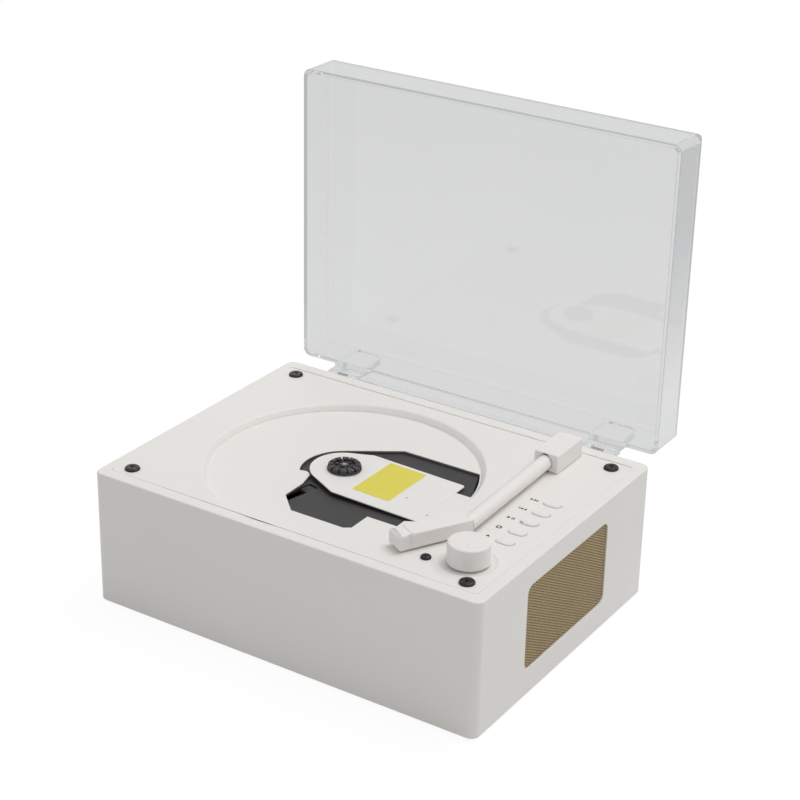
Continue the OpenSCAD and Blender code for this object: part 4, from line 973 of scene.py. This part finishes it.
def make_cover_marks():
    """Two faint grey marks, one on the pickup cover and one beside its end."""
    marks = []
    for x, y in FAINT_MARKS:
        height = WELL_Z + max(0, COVER_END_X - x) * math.tan(LEAN)
        bpy.ops.mesh.primitive_cylinder_add(vertices=20, radius=0.5 * MM, depth=0.04 * MM,
                                            location=(x * MM, y * MM, height * MM))
        mark_piece = bpy.context.object
        settle(mark_piece)
        mark(mark_piece, "EDGE", lambda p, d: p.z > height * MM and abs(d.z) < 0.1)
        bpy.ops.mesh.bevel(offset=0.015 * MM, segments=1, affect="EDGES")
        close_mesh()
        marks.append(mark_piece)
    return joined(marks, "faint_grey_marks")


place(make_cover_marks(), "player", "white_cover", FAINT)


# Camera at the photograph's place

FORWARD = Vector((-0.48764122, 0.76294000, -0.42441559))
RIGHT = Vector((0.83736987, 0.54627496, 0.01988370))
UP = Vector((-0.24701769, 0.34569672, 0.90524916))
EYE = Vector((0.44690519, -0.67945158, 0.47981229))
camera_data = bpy.data.cameras.new("view")
camera = bpy.data.objects.new("view", camera_data)
bpy.context.scene.collection.objects.link(camera)
camera.matrix_world = Matrix(((RIGHT.x, UP.x, -FORWARD.x, EYE.x),
                              (RIGHT.y, UP.y, -FORWARD.y, EYE.y),
                              (RIGHT.z, UP.z, -FORWARD.z, EYE.z), (0, 0, 0, 1)))
camera_data.sensor_width = 36.0
camera_data.lens = 91.9
camera_data.clip_start = 0.02
camera_data.clip_end = 20.0
bpy.context.scene.camera = camera


# Floor and studio light

# Gap below the feet in metres, white of the floor and of the room, and the lid's part of that white
FLOOR_GAP = 0.0002
FLOOR_WHITE = 0.92
ROOM_WHITE = 1.0
BEHIND_LID = 0.66


def backdrop_strength(tree, plain):
    """The white that the camera sees, and a pale grey behind the clear lid."""
    through = node(tree, "LightPath").outputs["Is Transmission Ray"]
    return ramp(tree, through, 0.0, 1.0, plain, BEHIND_LID * plain)


def seen_rays(tree):
    """1 for rays from the camera, mirrors and glass, and 0 for rays that light the object."""
    path = node(tree, "LightPath")
    first = node(tree, "Math", {0: path.outputs["Is Camera Ray"], 1: path.outputs["Is Glossy Ray"]},
                 operation="MAXIMUM").outputs[0]
    return node(tree, "Math", {0: first, 1: path.outputs["Is Transmission Ray"]},
                operation="MAXIMUM").outputs[0]


def make_floor():
    bpy.ops.mesh.primitive_plane_add(size=8.0, location=(0, 0, cad_low.z - FLOOR_GAP))
    floor = bpy.context.object
    floor.name = "studio_floor"
    material = bpy.data.materials.new("pale_floor")
    material.use_nodes = True
    tree = material.node_tree
    tree.nodes.clear()
    paper = node(tree, "BsdfDiffuse", {"Color": (0.80, 0.80, 0.80, 1)})
    white = node(tree, "Emission", {"Color": (1, 1, 1, 1), "Strength": backdrop_strength(tree, FLOOR_WHITE)})
    faint = node(tree, "BsdfDiffuse", {"Color": (0.11, 0.11, 0.11, 1)})
    both = node(tree, "AddShader")
    tree.links.new(white.outputs[0], both.inputs[0])
    tree.links.new(faint.outputs[0], both.inputs[1])
    mix = node(tree, "MixShader", {0: seen_rays(tree), 1: paper.outputs[0], 2: both.outputs[0]})
    end = node(tree, "OutputMaterial")
    tree.links.new(mix.outputs[0], end.inputs["Surface"])
    floor.data.materials.append(material)


def make_world():
    world = bpy.data.worlds.new("studio")
    bpy.context.scene.world = world
    world.use_nodes = True
    tree = world.node_tree
    tree.nodes.clear()
    white = node(tree, "Background", {"Color": (1, 1, 1, 1), "Strength": backdrop_strength(tree, ROOM_WHITE)})
    soft = node(tree, "Background", {"Color": (0.985, 0.99, 1.0, 1), "Strength": 0.53})
    mix = node(tree, "MixShader", {0: seen_rays(tree), 1: soft.outputs[0], 2: white.outputs[0]})
    end = node(tree, "OutputWorld")
    tree.links.new(mix.outputs[0], end.inputs["Surface"])


def soft_lamp(name, spot, target, size, power):
    data = bpy.data.lights.new(name, "AREA")
    data.shape = "SQUARE"
    data.size = size
    data.energy = power
    lamp = bpy.data.objects.new(name, data)
    bpy.context.scene.collection.objects.link(lamp)
    lamp.location = spot
    lamp.rotation_mode = "QUATERNION"
    lamp.rotation_quaternion = (Vector(target) - Vector(spot)).to_track_quat("-Z", "Y")
    lamp.visible_camera = False


make_floor()
make_world()
soft_lamp("overhead_softbox", (0.35, 0.55, 1.5), (0, 0, 0.05), 1.0, 11.5)

bpy.context.scene.view_settings.view_transform = "Standard"
